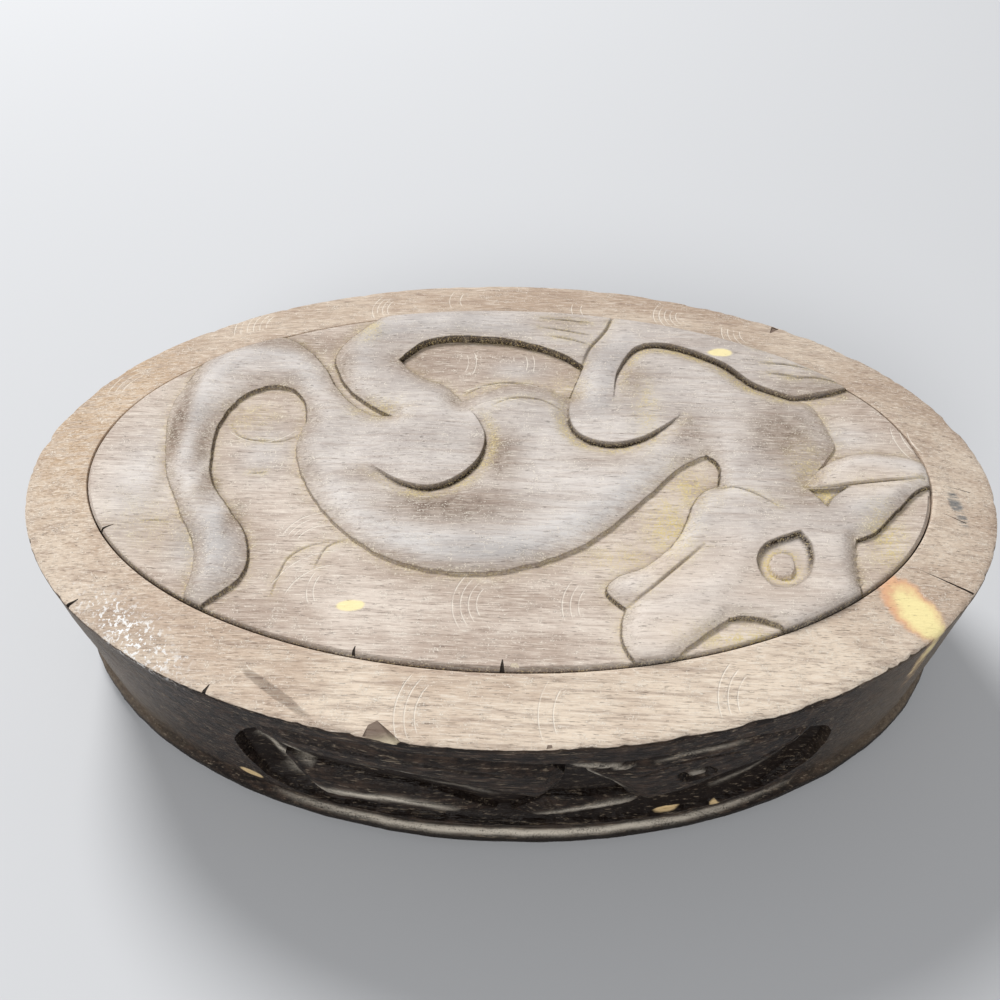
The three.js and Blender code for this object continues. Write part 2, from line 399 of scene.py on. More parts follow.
wornLitCrests = [  # (half-width, strength, points): rubbed and dusty ridges of the side, with a painted highlight along them
    (1.1, 1.0, [[-38, 13], [-31, 14.3], [-26, 15], [-20, 16], [-13, 15.7], [-6, 14]]),
    (0.55, 1.0, [[-46, 7.2], [-33, 6.8], [-20, 6.7], [4, 6.7], [20, 6.7], [34, 6.7], [47, 6.9], [62, 7.6]]),
    (0.8, 0.8, [[8, 12.6], [14, 14.2], [20, 16], [29, 15.4]]),
    (0.5, 0.6, [[14, 37.9], [20, 36.9], [27, 35]]),
    (1.0, 0.8, [[-47.5, 26.5], [-45, 24.5], [-42.5, 22], [-40, 19]]),
    (0.9, 0.6, [[-44, 27.5], [-41, 26.3], [-38, 24.6], [-35, 22.5]]),
    (1.4, 0.7, [[-43, 17], [-38, 14.4], [-32, 13.4], [-25, 14.2]]),
    (0.9, 0.5, [[-42, 19], [-38, 15], [-33, 12]]),
    (0.8, 0.7, [[41, 16], [47, 18.6], [53, 21.2], [57.5, 25]]),
    (0.9, 0.5, [[59.5, 31], [57.5, 27], [55, 24]]),
    (0.6, 0.35, [[44, 12.6], [50, 14], [56, 17.5]]),
    (0.6, 0.95, [[-28, 31.4], [-18, 31.4], [-9, 28.8]]),
    (0.4, 0.4, [[-33, 40.6], [-22, 41.6], [-10, 41.2]]),
    (0.4, 0.4, [[30, 36], [38, 37], [48, 36.4]]),
    (0.6, 0.7, [[17, 33.5], [19.5, 30.5], [23, 26], [26, 22]]),
    (0.5, 0.25, [[-14, 24.5], [-6, 22], [2, 18.6]]),
]

# Nicks and cracks in the rim, as kind (1 a chip, 2 a crack), x and y of the inner point, top, width,
# length, depth and heading
rimNicks = [
    (1, -19.8, -56.6, 48.6, 8.0, 5.0, 2.4, 284),
    (1, 11.0, -58.8, 48.2, 1.8, 3.4, 1.6, 268),
    (1, 45.2, -52.2, 48.2, 4.6, 4.0, 1.3, 300),
    (2, -49.6, -50.8, 48.2, 1.2, 3.6, 2.0, 238),
    (2, -78.6, -34.0, 48.4, 1.2, 4.0, 2.0, 212),
    (2, 79.4, -22.3, 49.0, 0.5, 12.0, 1.8, -21),
    (2, 88.6, -1.4, 49.2, 0.35, 11.0, 1.2, -9),
    (2, 86.4, -8.4, 49.4, 0.35, 9.0, 1.0, -21),
    (1, 60.0, 44.6, 48.4, 1.8, 3.4, 1.2, 58),
    (1, -36.0, 54.6, 48.4, 2.4, 3.6, 1.2, 110),
    (1, 72.6, -41.0, 48.2, 1.6, 3.0, 1.0, 318),
]


def panelPaths():
    return {name: closedPaths(edges) for name, edges in panelForms.items()}


def sideEyeRing(place):
    # 1 on the edge of the almond-shaped eye, less inside it
    turn = math.radians(sideEye["turn"])
    shifted = place - np.array(sideEye["centre"])
    across = (shifted[:, 0] * math.cos(turn) + shifted[:, 1] * math.sin(turn)) / sideEye["reach"][0]
    upward = (shifted[:, 1] * math.cos(turn) - shifted[:, 0] * math.sin(turn)) / sideEye["reach"][1]
    return np.abs(across) ** 1.4 + np.abs(upward) ** 1.4


def panelCarving(place, paths):
    # depth below the side's surface for points (x, height), with shares of painted shade and grime in the
    # cuts and hollows, and of wear with a painted highlight
    sunk, edgeGap = raisedForm(place, paths["panel"])
    within = inside(place, polygonOf(paths["panel"])) & (edgeGap > atEdge)
    pockets = sum(block["pocketDepth"] * mound(place, *pocket) for pocket in sidePockets)
    depth = np.where(within, block["panelDepth"] * sunk + pockets, 0)
    # the sunk panel gets painted shade and grime, most of it near its edge
    shadeAndDirt = np.where(within, 0.8 + 0.2 * np.exp(-edgeGap / 1.5), 0.3 * eased(edgeGap, 0.4, 0))
    for name, height in raisedBy.items():
        share, near = raisedForm(place, paths[name])
        on = (inside(place, polygonOf(paths[name])) | (near < atEdge)) & within
        level = block["panelDepth"] - height * share
        undercut = np.where(within, 0.7 * np.exp(-near / 1.5), 0)
        depth = np.where(on, np.minimum(depth, level), depth + undercut)
        shadeAndDirt = np.where(on, 0.75 * np.exp(-near / 0.8), shadeAndDirt)
    for halfBreadth, deep, points in sideGrooves:
        distance, _, share, _ = measure(place, unsteady(smoothPath(points)))
        ends = tapered(share, 0.4, 0.03)
        depth += np.where(within, deep * ends * np.clip(1 - distance / halfBreadth, 0, 1), 0)
        shadeAndDirt = np.maximum(shadeAndDirt, np.where(within, 0.9 * ends * np.exp(-((distance / halfBreadth) ** 2)), 0))
    ring = sideEyeRing(place)
    socket = np.where(within, eased(ring, 1.05, 0.75) * (1 - 0.8 * eased(ring, 0.55, 0.3)), 0)
    depth += sideEye["depth"] * socket
    shadeAndDirt = np.maximum(shadeAndDirt, socket)
    wearAndHighlight = np.zeros(len(place))
    for halfBreadth, strength, points in wornLitCrests:
        distance, _, share, _ = measure(place, unsteady(smoothPath(points)))
        band = strength * np.exp(-((distance / halfBreadth) ** 2)) * tapered(share, 0.6)
        wearAndHighlight = np.maximum(wearAndHighlight, np.where(share > 0, band, 0))
    wearAndHighlight = np.maximum(wearAndHighlight, np.where(within, 0.45 * eased(ring, 0.45, 0.1), 0))
    return depth, np.clip(shadeAndDirt, 0, 1), np.clip(wearAndHighlight, 0, 1)


def blockProfile():
    # reach from the middle and height of each ring: underside, side, rim, seat, wall and floor
    cavity = seatReach - block["ledgeWidth"]
    ledge = lidLow.z - block["ledgeGap"]
    base, floor, fillet = block["footTop"], block["floor"], block["floorFillet"]
    arris, inner = block["outerArris"], block["innerArris"]

    def sideAt(height):
        return halfLength - block["sideLean"] * (1 - height / rimOuter)

    rings = [(block["underside"] - inset, 0) for inset in (12, 4, 0)]
    rings += [(halfLength - inset, height) for inset, height in footBead]
    for step in range(block["sideRows"] + 1):
        height = base + (rimOuter - arris - base) * step / block["sideRows"]
        rings.append((sideAt(height), height))
    rings.append((halfLength - 0.22 * arris, rimOuter - 0.35 * arris))
    rings.append((halfLength - 0.7 * arris, rimOuter + 0.02))
    for step in range(1, block["rimRows"] + 1):
        share = step / block["rimRows"]
        reach = halfLength - 0.9 * arris - (block["rimWidth"] - 0.9 * arris - inner) * share
        rings.append((reach, rimOuter + block["rimFall"] * (halfLength - reach) / block["rimWidth"]))
    rings += [(seatReach + 0.06, rimHeight - 0.1), (seatReach, rimHeight - 0.3), (seatReach, rimHeight - 3)]
    rings += [(seatReach, ledge), (seatReach - 2, ledge), (cavity, ledge)]
    for step in range(1, block["wallRows"] + 1):
        rings.append((cavity, ledge + (floor + fillet - ledge) * step / block["wallRows"]))
    for step in range(1, block["filletRows"] + 1):
        angle = math.pi / 2 * step / block["filletRows"]
        rings.append((cavity - fillet * (1 - math.cos(angle)), floor + fillet * (1 - math.sin(angle))))
    rings += [(cavity - fillet - inset, floor) for inset in (8, 20)]
    return rings


def growRings(name, rings):
    # one oval edge loop, extruded ring by ring along the profile and closed at both ends
    deselectAll()
    bpy.ops.mesh.primitive_circle_add(vertices=block["columns"], radius=1, fill_type="NOTHING")
    piece = bpy.context.active_object
    piece.name = name
    bpy.ops.object.mode_set(mode="EDIT")
    bpy.ops.mesh.select_all(action="SELECT")
    bpy.context.tool_settings.mesh_select_mode = (False, True, False)
    reach, height = rings[0]
    length, width = reach * mm, (reach - narrowing) * mm
    bpy.ops.transform.resize(value=(length, width, 1), center_override=(0, 0, 0))
    bpy.ops.transform.translate(value=(0, 0, height * mm))
    for nextReach, nextHeight in rings[1:]:
        bpy.ops.mesh.extrude_edges_move()
        stretch = (nextReach / reach, (nextReach - narrowing) / (reach - narrowing), 1)
        bpy.ops.transform.resize(value=stretch, center_override=(0, 0, 0))
        bpy.ops.transform.translate(value=(0, 0, (nextHeight - height) * mm))
        reach, height = nextReach, nextHeight
    bpy.ops.mesh.edge_face_add()
    bpy.ops.mesh.select_all(action="DESELECT")
    bpy.ops.mesh.select_non_manifold()
    bpy.ops.mesh.edge_face_add()
    bpy.ops.object.mode_set(mode="OBJECT")
    return piece


def outwardOf(place):
    # unit vectors straight out of the oval side
    slope = np.column_stack([place[:, 0] / halfLength**2, place[:, 1] / halfWidth**2, np.zeros(len(place))])
    return slope / np.maximum(np.linalg.norm(slope, axis=1), 1e-12)[:, None]


def ringReach(place):
    # half-length of the ring that each point lies on, found by halving
    low = np.full(len(place), narrowing + 0.2)
    high = np.full(len(place), halfLength + 10)
    for _ in range(20):
        reach = (low + high) / 2
        outside = (place[:, 0] / reach) ** 2 + (place[:, 1] / (reach - narrowing)) ** 2 > 1
        low = np.where(outside, reach, low)
        high = np.where(outside, high, reach)
    return high


def frontOf(spots):
    # the front side laid flat: points as (x, height), and which of the spots are on it
    onFront = (spots[:, 1] < 0) & (spots[:, 2] < rimOuter - 1.5)
    return spots[:, [0, 2]], onFront & (ringReach(spots) > seatReach + 5)


def refineBlock(piece, paths, drawn):
    # finer faces on the outside, more in the panel, and most along its cuts
    centre = faceCentres(piece.data)
    subdivideFaces(piece, (ringReach(centre) > seatReach + 0.5) & (centre[:, 2] > 1))
    flat, usable = frontOf(faceCentres(piece.data))
    near = np.minimum.reduce([measure(flat, path)[0] for *_, path in paths["panel"]])
    subdivideFaces(piece, (inside(flat, polygonOf(paths["panel"])) | (near < block["fineMargin"])) & usable)
    refineNear(piece, frontOf, drawn, block["fineBands"])
    print(f"block: {len(piece.data.polygons)} faces before carving")


def layPanel(mesh, place, paths, outlines):
    # moves the points of the front side onto the panel's lines, and returns how deep each is to be carved
    flat, usable = frontOf(place)
    usable &= place[:, 2] > 3
    held = ringReach(place)[usable]
    flat[usable] = snapped(flat[usable], outlines, block["snapReach"])
    place[usable, 0] = flat[usable, 0]
    place[usable, 2] = flat[usable, 1]
    place[usable, 1] = -(held - narrowing) * np.sqrt(1 - (flat[usable, 0] / held) ** 2)
    depth, shadeAndDirt, wearAndHighlight = (np.where(usable, field, 0) for field in panelCarving(flat, paths))
    paintPoints(mesh, "cutShadeAndDirt", shadeAndDirt)
    paintPoints(mesh, "wearAndHighlight", wearAndHighlight)
    return depth


def handWorked(place, depth):
    # the block with its panel sunk, its faces uneven and its upper edge bitten
    out = outwardOf(place)
    place = place - out * depth[:, None]
    reach = ringReach(place)
    skin = eased(reach, seatReach + 0.2, seatReach + 2.5) * eased(place[:, 2], 0.5, 4)
    onSide = eased(rimOuter + 0.4 - place[:, 2], 0, 2.5) * (reach > seatReach + 6)
    wobble = block["wobble"] * (roughness(place, 17, 3.1) + 0.5 * roughness(place, 6, 9.4))
    facets = roughness(place, 2.6, 5.2, 0.35) + 0.6 * roughness(place, 1.3, 8.8)
    uneven = wobble + (block["facets"] + block["panelFacets"] * eased(depth, 0.2, 1.0)) * facets
    place += out * (uneven * onSide * skin)[:, None]
    arris = np.exp(-(((reach - halfLength) / 1.2) ** 2)) * eased(place[:, 2], rimOuter - 2, rimOuter - 0.5)
    bites = np.clip(roughness(place, 5.5, 21) - 0.22, 0, 1)
    bites += 0.7 * np.clip(roughness(place, 1.4, 33) - 0.15, 0, 1)
    place -= out * (arris * bites * block["bite"])[:, None]
    place[:, 2] -= arris * bites * block["biteDrop"]
    sway = block["rimSway"] * roughness(place, 21, 13) + block["rimRipple"] * roughness(place, 5, 17)
    place[:, 2] += skin * (1 - onSide) * sway
    hollow = (reach < seatReach - 6) & (place[:, 2] < rimHeight - 4) & (place[:, 2] > 1)
    place[:, 2] += np.where(hollow, block["gouging"] * np.abs(roughness(place, 3.4, 41, 0.3)), 0)
    return place


def makeBlock():
    piece = growRings("carvedBlock", blockProfile())
    mesh = piece.data
    paths = panelPaths()
    outlines = [path for form in paths.values() for *_, path in form]
    drawn = outlines + [unsteady(smoothPath(points)) for *_, points in sideGrooves]
    refineBlock(piece, paths, drawn)
    place = coordinates(mesh)
    depth = layPanel(mesh, place, paths, outlines)
    moveVertices(mesh, handWorked(place, depth))
    cutAway(piece, [wedge(*nick) for nick in rimNicks])
    finishMesh(piece)
    place = coordinates(mesh)
    reach = ringReach(place)
    sideShare = eased(rimOuter - place[:, 2], -0.3, 1.2) * (reach > seatReach + 4)
    paintPoints(mesh, "side", np.maximum(sideShare, eased(place[:, 2], 4, 2)))
    paintPoints(mesh, "hollow", ((reach < seatReach + 0.5) & (place[:, 2] < rimHeight - 1)) * 1.0)
    print(f"block: {len(mesh.polygons)} faces carved")
    return piece


# The lid: an oval board carved with a long-tailed animal in low relief

carving = {
    "ground": 50.6,  # height of the sunk ground
    "relief": 1.55,  # animal above the ground
    "edgeRound": 1.0,
    "edgeFall": 3.2,  # the animal runs out this near the lid's edge
    "groundSink": 0.22,  # the ground is cut this much lower beside the animal
    "sway": 0.14,  # unevenness of the hand-cut top
    "knifeMarks": 0.06,
    "gridX": 200,
    "gridY": 112,
    "fineBands": [1.6, 0.75],  # the faces are finer this close to a cut
    "snapReach": 0.14,
    "plainEdge": 0.8,  # no point this near the lid's edge is moved onto a cut
    "eyeDepth": 1.3,
    "pupilDepth": 0.6,
    "pupilDome": 0.4,
    "pitDepth": 1.1,
    "seam": 3.0,  # height above the underside of the loop of edges round the lid's side
    "underEdge": 0.6,  # height of the softened edge below it
    "underShrink": (0.994, 0.99, 1),  # the flat underside is this much smaller
}

# The animal's outline as (step, rounding, points): step is the share of the full height that stands
# right at the edge, and rounding is how far in the surface keeps rising, in millimetres
animalEdges = [
    (0.4, 6.0, [[-54.5, -37], [-49, -31.5], [-47.8, -26], [-50, -19.5]]),
    (0.4, 6.0, [[-55.5, -12.5], [-59.5, -6.5], [-61.2, 2], [-61.3, 9], [-58.5, 16.5], [-53, 20.6],
                [-47.5, 20], [-43.7, 15.5]]),
    (0.3, 6.0, [[-42.8, 10], [-43.5, 3]]),
    (0.32, 8.0, [[-41, -5], [-33.5, -15.5], [-21.5, -24.5], [-8, -27.5], [4.5, -26], [17.5, -19.5],
                 [28.5, -8.5], [36.5, 0.3]]),
    (0.5, 3.0, [[41.8, 3.5], [44.2, 0.5]]),
    (0.45, 4.0, [[43.5, -4.9], [40.4, -6.6], [38, -9.8], [36.2, -15.2], [33, -20.6], [28.2, -25],
                 [22.5, -28], [20.9, -31.3]]),
    (0.4, 4.0, [[24.5, -34.5], [23.4, -38.4], [23.7, -42], [25, -44.8], [28, -47.5]]),
    (0.35, 3.0, [[31, -47.5], [34.3, -42.9], [38.7, -39.1], [42, -36.6]]),
    (0.45, 3.0, [[42.8, -35.9], [47.3, -35.5], [51, -36.6], [57, -38.8]]),
    (0.8, 2.0, [[72, -36]]),
    (0.15, 3.5, [[67.7, -29], [67.7, -22.5]]),
    (0.5, 3.0, [[68.7, -17.2], [71.9, -15.8], [75.4, -12.6], [78.9, -8.5], [82.5, -4.7], [86, -2.9]]),
    (0.6, 2.0, [[92, -2]]),
    (0.3, 3.0, [[90, 1.5], [83, 4.2], [78, 5], [73.5, 5], [66.5, 2.2]]),
    (0.25, 6.0, [[61.2, -2.8], [65.5, 2.5], [68.3, 7], [67.5, 12], [65.5, 18]]),
    (0.5, 4.0, [[62.5, 20.8], [70, 22.5]]),
    (0.8, 2.0, [[82, 29]]),
    (0.8, 2.0, [[60, 52]]),
    (0.8, 2.0, [[-28, 56]]),
    (0.45, 3.5, [[-31, 43.5], [-34.5, 39.5], [-37.5, 35.5]]),
    (0.4, 3.5, [[-39.2, 31.5], [-38.8, 27.5], [-35, 20.5], [-30, 16]]),
    (0.38, 5.0, [[-24.5, 12.3], [-29, 12.8], [-33.5, 15.8], [-37.7, 20.7], [-40.7, 25.9], [-44.7, 31.2],
                 [-50, 35.6], [-55.5, 37.2], [-61, 36], [-65.5, 33], [-69, 28]]),
    (0.3, 5.0, [[-71.2, 21.5], [-72.9, 13], [-71.5, 4], [-69, -5], [-64, -14.5], [-60, -21], [-57.8, -28]]),
    (0.5, 4.0, [[-58.5, -40]]),
]
betweenLegs = [
    (0.9, 3.0, [[-25, 29.8], [-19.5, 35.5], [-12, 37.5], [-2.5, 37], [4.5, 35.5], [11.5, 32.5]]),
    (0.6, 3.5, [[16.5, 28.8], [15.3, 24.5]]),
    (0.1, 7.0, [[13.8, 19.5], [5, 23.5], [-3, 22]]),
    (0.3, 5.0, [[-9.5, 17.5], [-14, 22], [-20, 25]]),
]
# Sickle cuts: a wall along the path and a slope that rises away on one side: (side, breadth, depth, points)
sickles = [
    (1, 7.0, 1.45, [[-7, 13], [-4.3, 7.5], [-4.6, 2], [-6.9, -2.3], [-10.3, -5.5], [-14.2, -7.2],
                    [-18, -6.9], [-22, -5.3], [-26.5, -2.3]]),
    (-1, 5.5, 1.45, [[13.8, 19], [13.6, 13], [15.2, 8.8], [18.6, 6.5], [23.4, 5.7], [28.4, 7.2], [32.5, 10],
                     [36.5, 13.5]]),
    (-1, 5.5, 1.55, [[23, 19.5], [24, 27], [28.5, 35], [36, 36], [47, 30.5], [54, 24], [62, 21.4],
                     [74.5, 24.5]]),
]
# Fine knife lines: (half-width, depth, points)
knifeLines = [
    (0.5, 0.7, [[24.5, 50], [22, 41], [18, 34], [16.3, 28]]),
    (0.45, 0.55, [[24.7, -34.3], [28.1, -31.4], [31.6, -28], [35.1, -24.6], [39.5, -20.3]]),
    (0.3, 0.35, [[43.5, -5.4], [47, -5.5], [50.4, -6.8], [53, -8.5], [54.6, -9.8]]),
    (0.5, 0.7, [[60.8, -4.3], [65.5, -4.6], [69.9, -3.8], [75.7, -2.8], [80.8, -2.2], [84.8, -1.6]]),
    (0.3, 0.25, [[-9.1, 20], [-5.5, 22.8], [-1, 24.1], [5.6, 23.7]]),
    (0.3, 0.3, [[-3.1, 15.5], [0.5, 17.7], [4.5, 18], [8.1, 17.4], [11.9, 14.9]]),
    (0.3, 0.25, [[-58.8, 9.4], [-55.6, 5.7], [-48, 4.8], [-43.4, 7]]),
    (0.3, 0.2, [[-52.2, -4.2], [-48.7, -3.8]]),
    (0.3, 0.2, [[-70.9, -17.2], [-65.7, -17]]),
    (0.3, 0.3, [[-41.7, -33.5], [-41.2, -29.5], [-40, -25.2], [-36.8, -22.4], [-32.8, -21.1]]),
    (0.3, 0.25, [[-34.6, -27.3], [-33.1, -22.5], [-29.5, -20.3]]),
    (0.35, 0.35, [[6.5, 44], [12, 43.6], [18.2, 42.7]]),
    (0.35, 0.35, [[6.6, 40.9], [12, 40], [18.1, 38.5]]),
    (0.35, 0.35, [[9, 37.9], [14, 36.9], [18.1, 35.2]]),
    (0.35, 0.4, [[54.3, 36.3], [57, 35.7], [59.8, 34.8]]),
    (0.35, 0.4, [[55.9, 30.5], [61, 30.2], [66.8, 29.2]]),
    (0.35, 0.4, [[56.7, 27.3], [60.5, 26.9], [64.1, 26]]),
    (0.35, 0.4, [[60.9, 25.9], [67, 26.2], [72.7, 25.3]]),
]
eyeEdges = [(1, 1, [[58, -16.1], [59.9, -20], [58.6, -26], [54.8, -29.3], [50.6, -28.6], [48.7, -23.8],
                    [51.4, -19.1]])]
pupilEdges = [(1, 1, [[52.2, -22.2], [54.1, -21.4], [56, -22.3], [56.1, -24.8], [54.5, -26.7],
                      [52.2, -26.5], [51.2, -24.4]])]
earPit = [
    (1, 1, [[61.2, -4.9], [62.6, -7.2]]),
    (1, 1, [[64.4, -9.8], [65.8, -7.4]]),
    (1, 1, [[69.4, -4.5], [65.3, -5.3]]),
]

# Nicks where the lid was pried up, written as the rim's are
lidNicks = [
    (2, -24.3, -43.6, 50.9, 1.1, 3.2, 1.6, 262),
    (1, -27.0, -44.0, 50.9, 2.4, 2.6, 0.8, 256),
    (1, 4.2, -45.4, 50.9, 2.6, 2.6, 0.9, 276),
    (2, 2.2, -45.2, 50.9, 1.0, 2.8, 1.5, 270),
    (2, -75.9, -18.1, 50.9, 1.0, 5.0, 2.0, 210),
]

# Swells and hollows of the relief, in millimetres: centre, half-sizes, rise
swells = [
    ((-17, 9), (9, 9), 0.5),
    ((27, 16), (8, 8), 0.4),
    ((46, -24), (14, 10), 0.4),
    ((0, -16), (26, 7), 0.45),
    ((28, -2), (8, 7), 0.25),
    ((-42, -2), (8, 8), 0.2),
    ((-12, 42), (10, 5), 0.35),
    ((44, 30), (12, 5), 0.3),
    ((7, 3), (8, 9), -0.6),
    ((57, 4), (7, 9), -0.5),
    ((-31, 4), (6, 8), -0.5),
    ((60, -9), (8, 4), -0.35),
    ((44, 10), (7, 7), -0.25),
]
# Crests of the relief: half-width, rise, points
crests = [
    (2.6, 0.55, [[-66.5, 4], [-67.2, 14], [-65, 23], [-60, 28.6], [-53, 29.8], [-46.5, 25.5],
                 [-41.5, 17.5]]),
    (2.6, 0.5, [[-66.5, 6], [-64.1, -1.4], [-60.5, -7.6], [-56.4, -13.5], [-54.2, -20.1], [-54, -30]]),
    (2.8, 0.4, [[-31, 24], [-34, 32], [-30, 39], [-20, 42], [-6, 42], [6, 40]]),
    (2.6, 0.4, [[20, 12], [19.5, 20], [22, 30], [28, 40]]),
    (2.4, 0.4, [[26, -38], [34, -33], [43, -28], [48, -20], [50, -13]]),
    (1.8, 0.3, [[24, -31], [30, -26], [36, -20], [40, -12]]),
    (2.0, 0.35, [[64, -1], [72, 1.5], [80, 1.5], [85, 0]]),
    (2.0, 0.35, [[68, -11], [74, -7.5], [80, -4.2], [85, -2.4]]),
    (3.0, 0.4, [[-36, -6], [-26, -16], [-12, -22], [4, -21.5], [18, -14], [30, -2], [38, 6]]),
]
# Where yellowish dust has settled in the carving: centre, half-sizes, strength
dustySpots = [
    ((33, -15), (4.5, 8), 0.9),
    ((46, -40), (10, 2.4), 0.85),
    ((75, -17), (4, 7), 0.8),
    ((38, -5), (5, 5), 0.8),
    ((24, -23), (8, 3), 0.6),
    ((30, 15), (2.5, 9), 0.55),
    ((-28, 14), (6, 3), 0.6),
    ((-33, 39), (3, 4), 0.8),
    ((62, 1), (4, 6), 0.5),
    ((-55, 12), (6, 4), 0.45),
    ((13, 22), (4, 4), 0.5),
    ((-70, -18), (9, 8), 0.25),
]
# Hollows with painted brown shade, left unpolished: centre, half-sizes, strength
shadedHollows = [
    ((-1, 1), (4.5, 7.5), 1.0),
    ((-11, -12), (14, 5.5), 1.15),
    ((-28, -5), (6, 3), 0.5),
    ((58, 10), (7, 8), 1.1),
    ((60, -7), (8, 4), 0.6),
    ((21, 1.5), (9, 3), 0.6),
    ((39, 9), (5, 6), 0.6),
    ((-52, 34), (14, 3), 0.8),
    ((-69.8, 8), (2.2, 15), 1.2),
    ((-63, 2), (2.0, 6), 1.0),
    ((-59.5, -8), (2.6, 5), 0.9),
    ((-52.5, -16), (2.2, 5), 0.8),
    ((-53, 22.5), (8, 2), 0.5),
    ((-37, 27), (3, 7), 0.7),
    ((27, 24), (3, 6), 0.5),
    ((66, 24), (12, 3), 0.6),
    ((-20, 30), (9, 4), 0.5),
    ((14, 43), (9, 4), 0.5),
    ((60, 40), (10, 4), 0.6),
]
# The head and muzzle are smooth but tan, as the ground is: centre, half-sizes
tanSpots = [((52, -27), (15, 11)), ((32, -40), (11, 8)), ((32, -26), (10, 8)), ((74, -2), (10, 6))]
# Spots of the sunk ground that have worn smooth and carry the painted sheen: centre, half-sizes
glossySpots = [
    ((-74, -6), (9, 17)),
    ((-50, 2), (6, 9)),
    ((-60, -22), (5, 8)),
    ((70, 10), (8, 4)),
    ((2, 28), (7, 4)),
]


def lidPaths():
    return {
        "animal": closedPaths(animalEdges),
        "hole": closedPaths(betweenLegs),
        "sickles": [(side, breadth, deep, smoothPath(points)) for side, breadth, deep, points in sickles],
        "lines": [(breadth, deep, smoothPath(points)) for breadth, deep, points in knifeLines],
        "eye": closedPaths(eyeEdges),
        "pupil": closedPaths(pupilEdges),
        "earPit": closedPaths(earPit),
    }


def crispPaths(paths):
    crisp = [path for step, _, path in paths["animal"] + paths["hole"] if step > 0.2]
    crisp += [path for *_, path in paths["sickles"] + paths["eye"] + paths["pupil"] + paths["earPit"]]
    return crisp


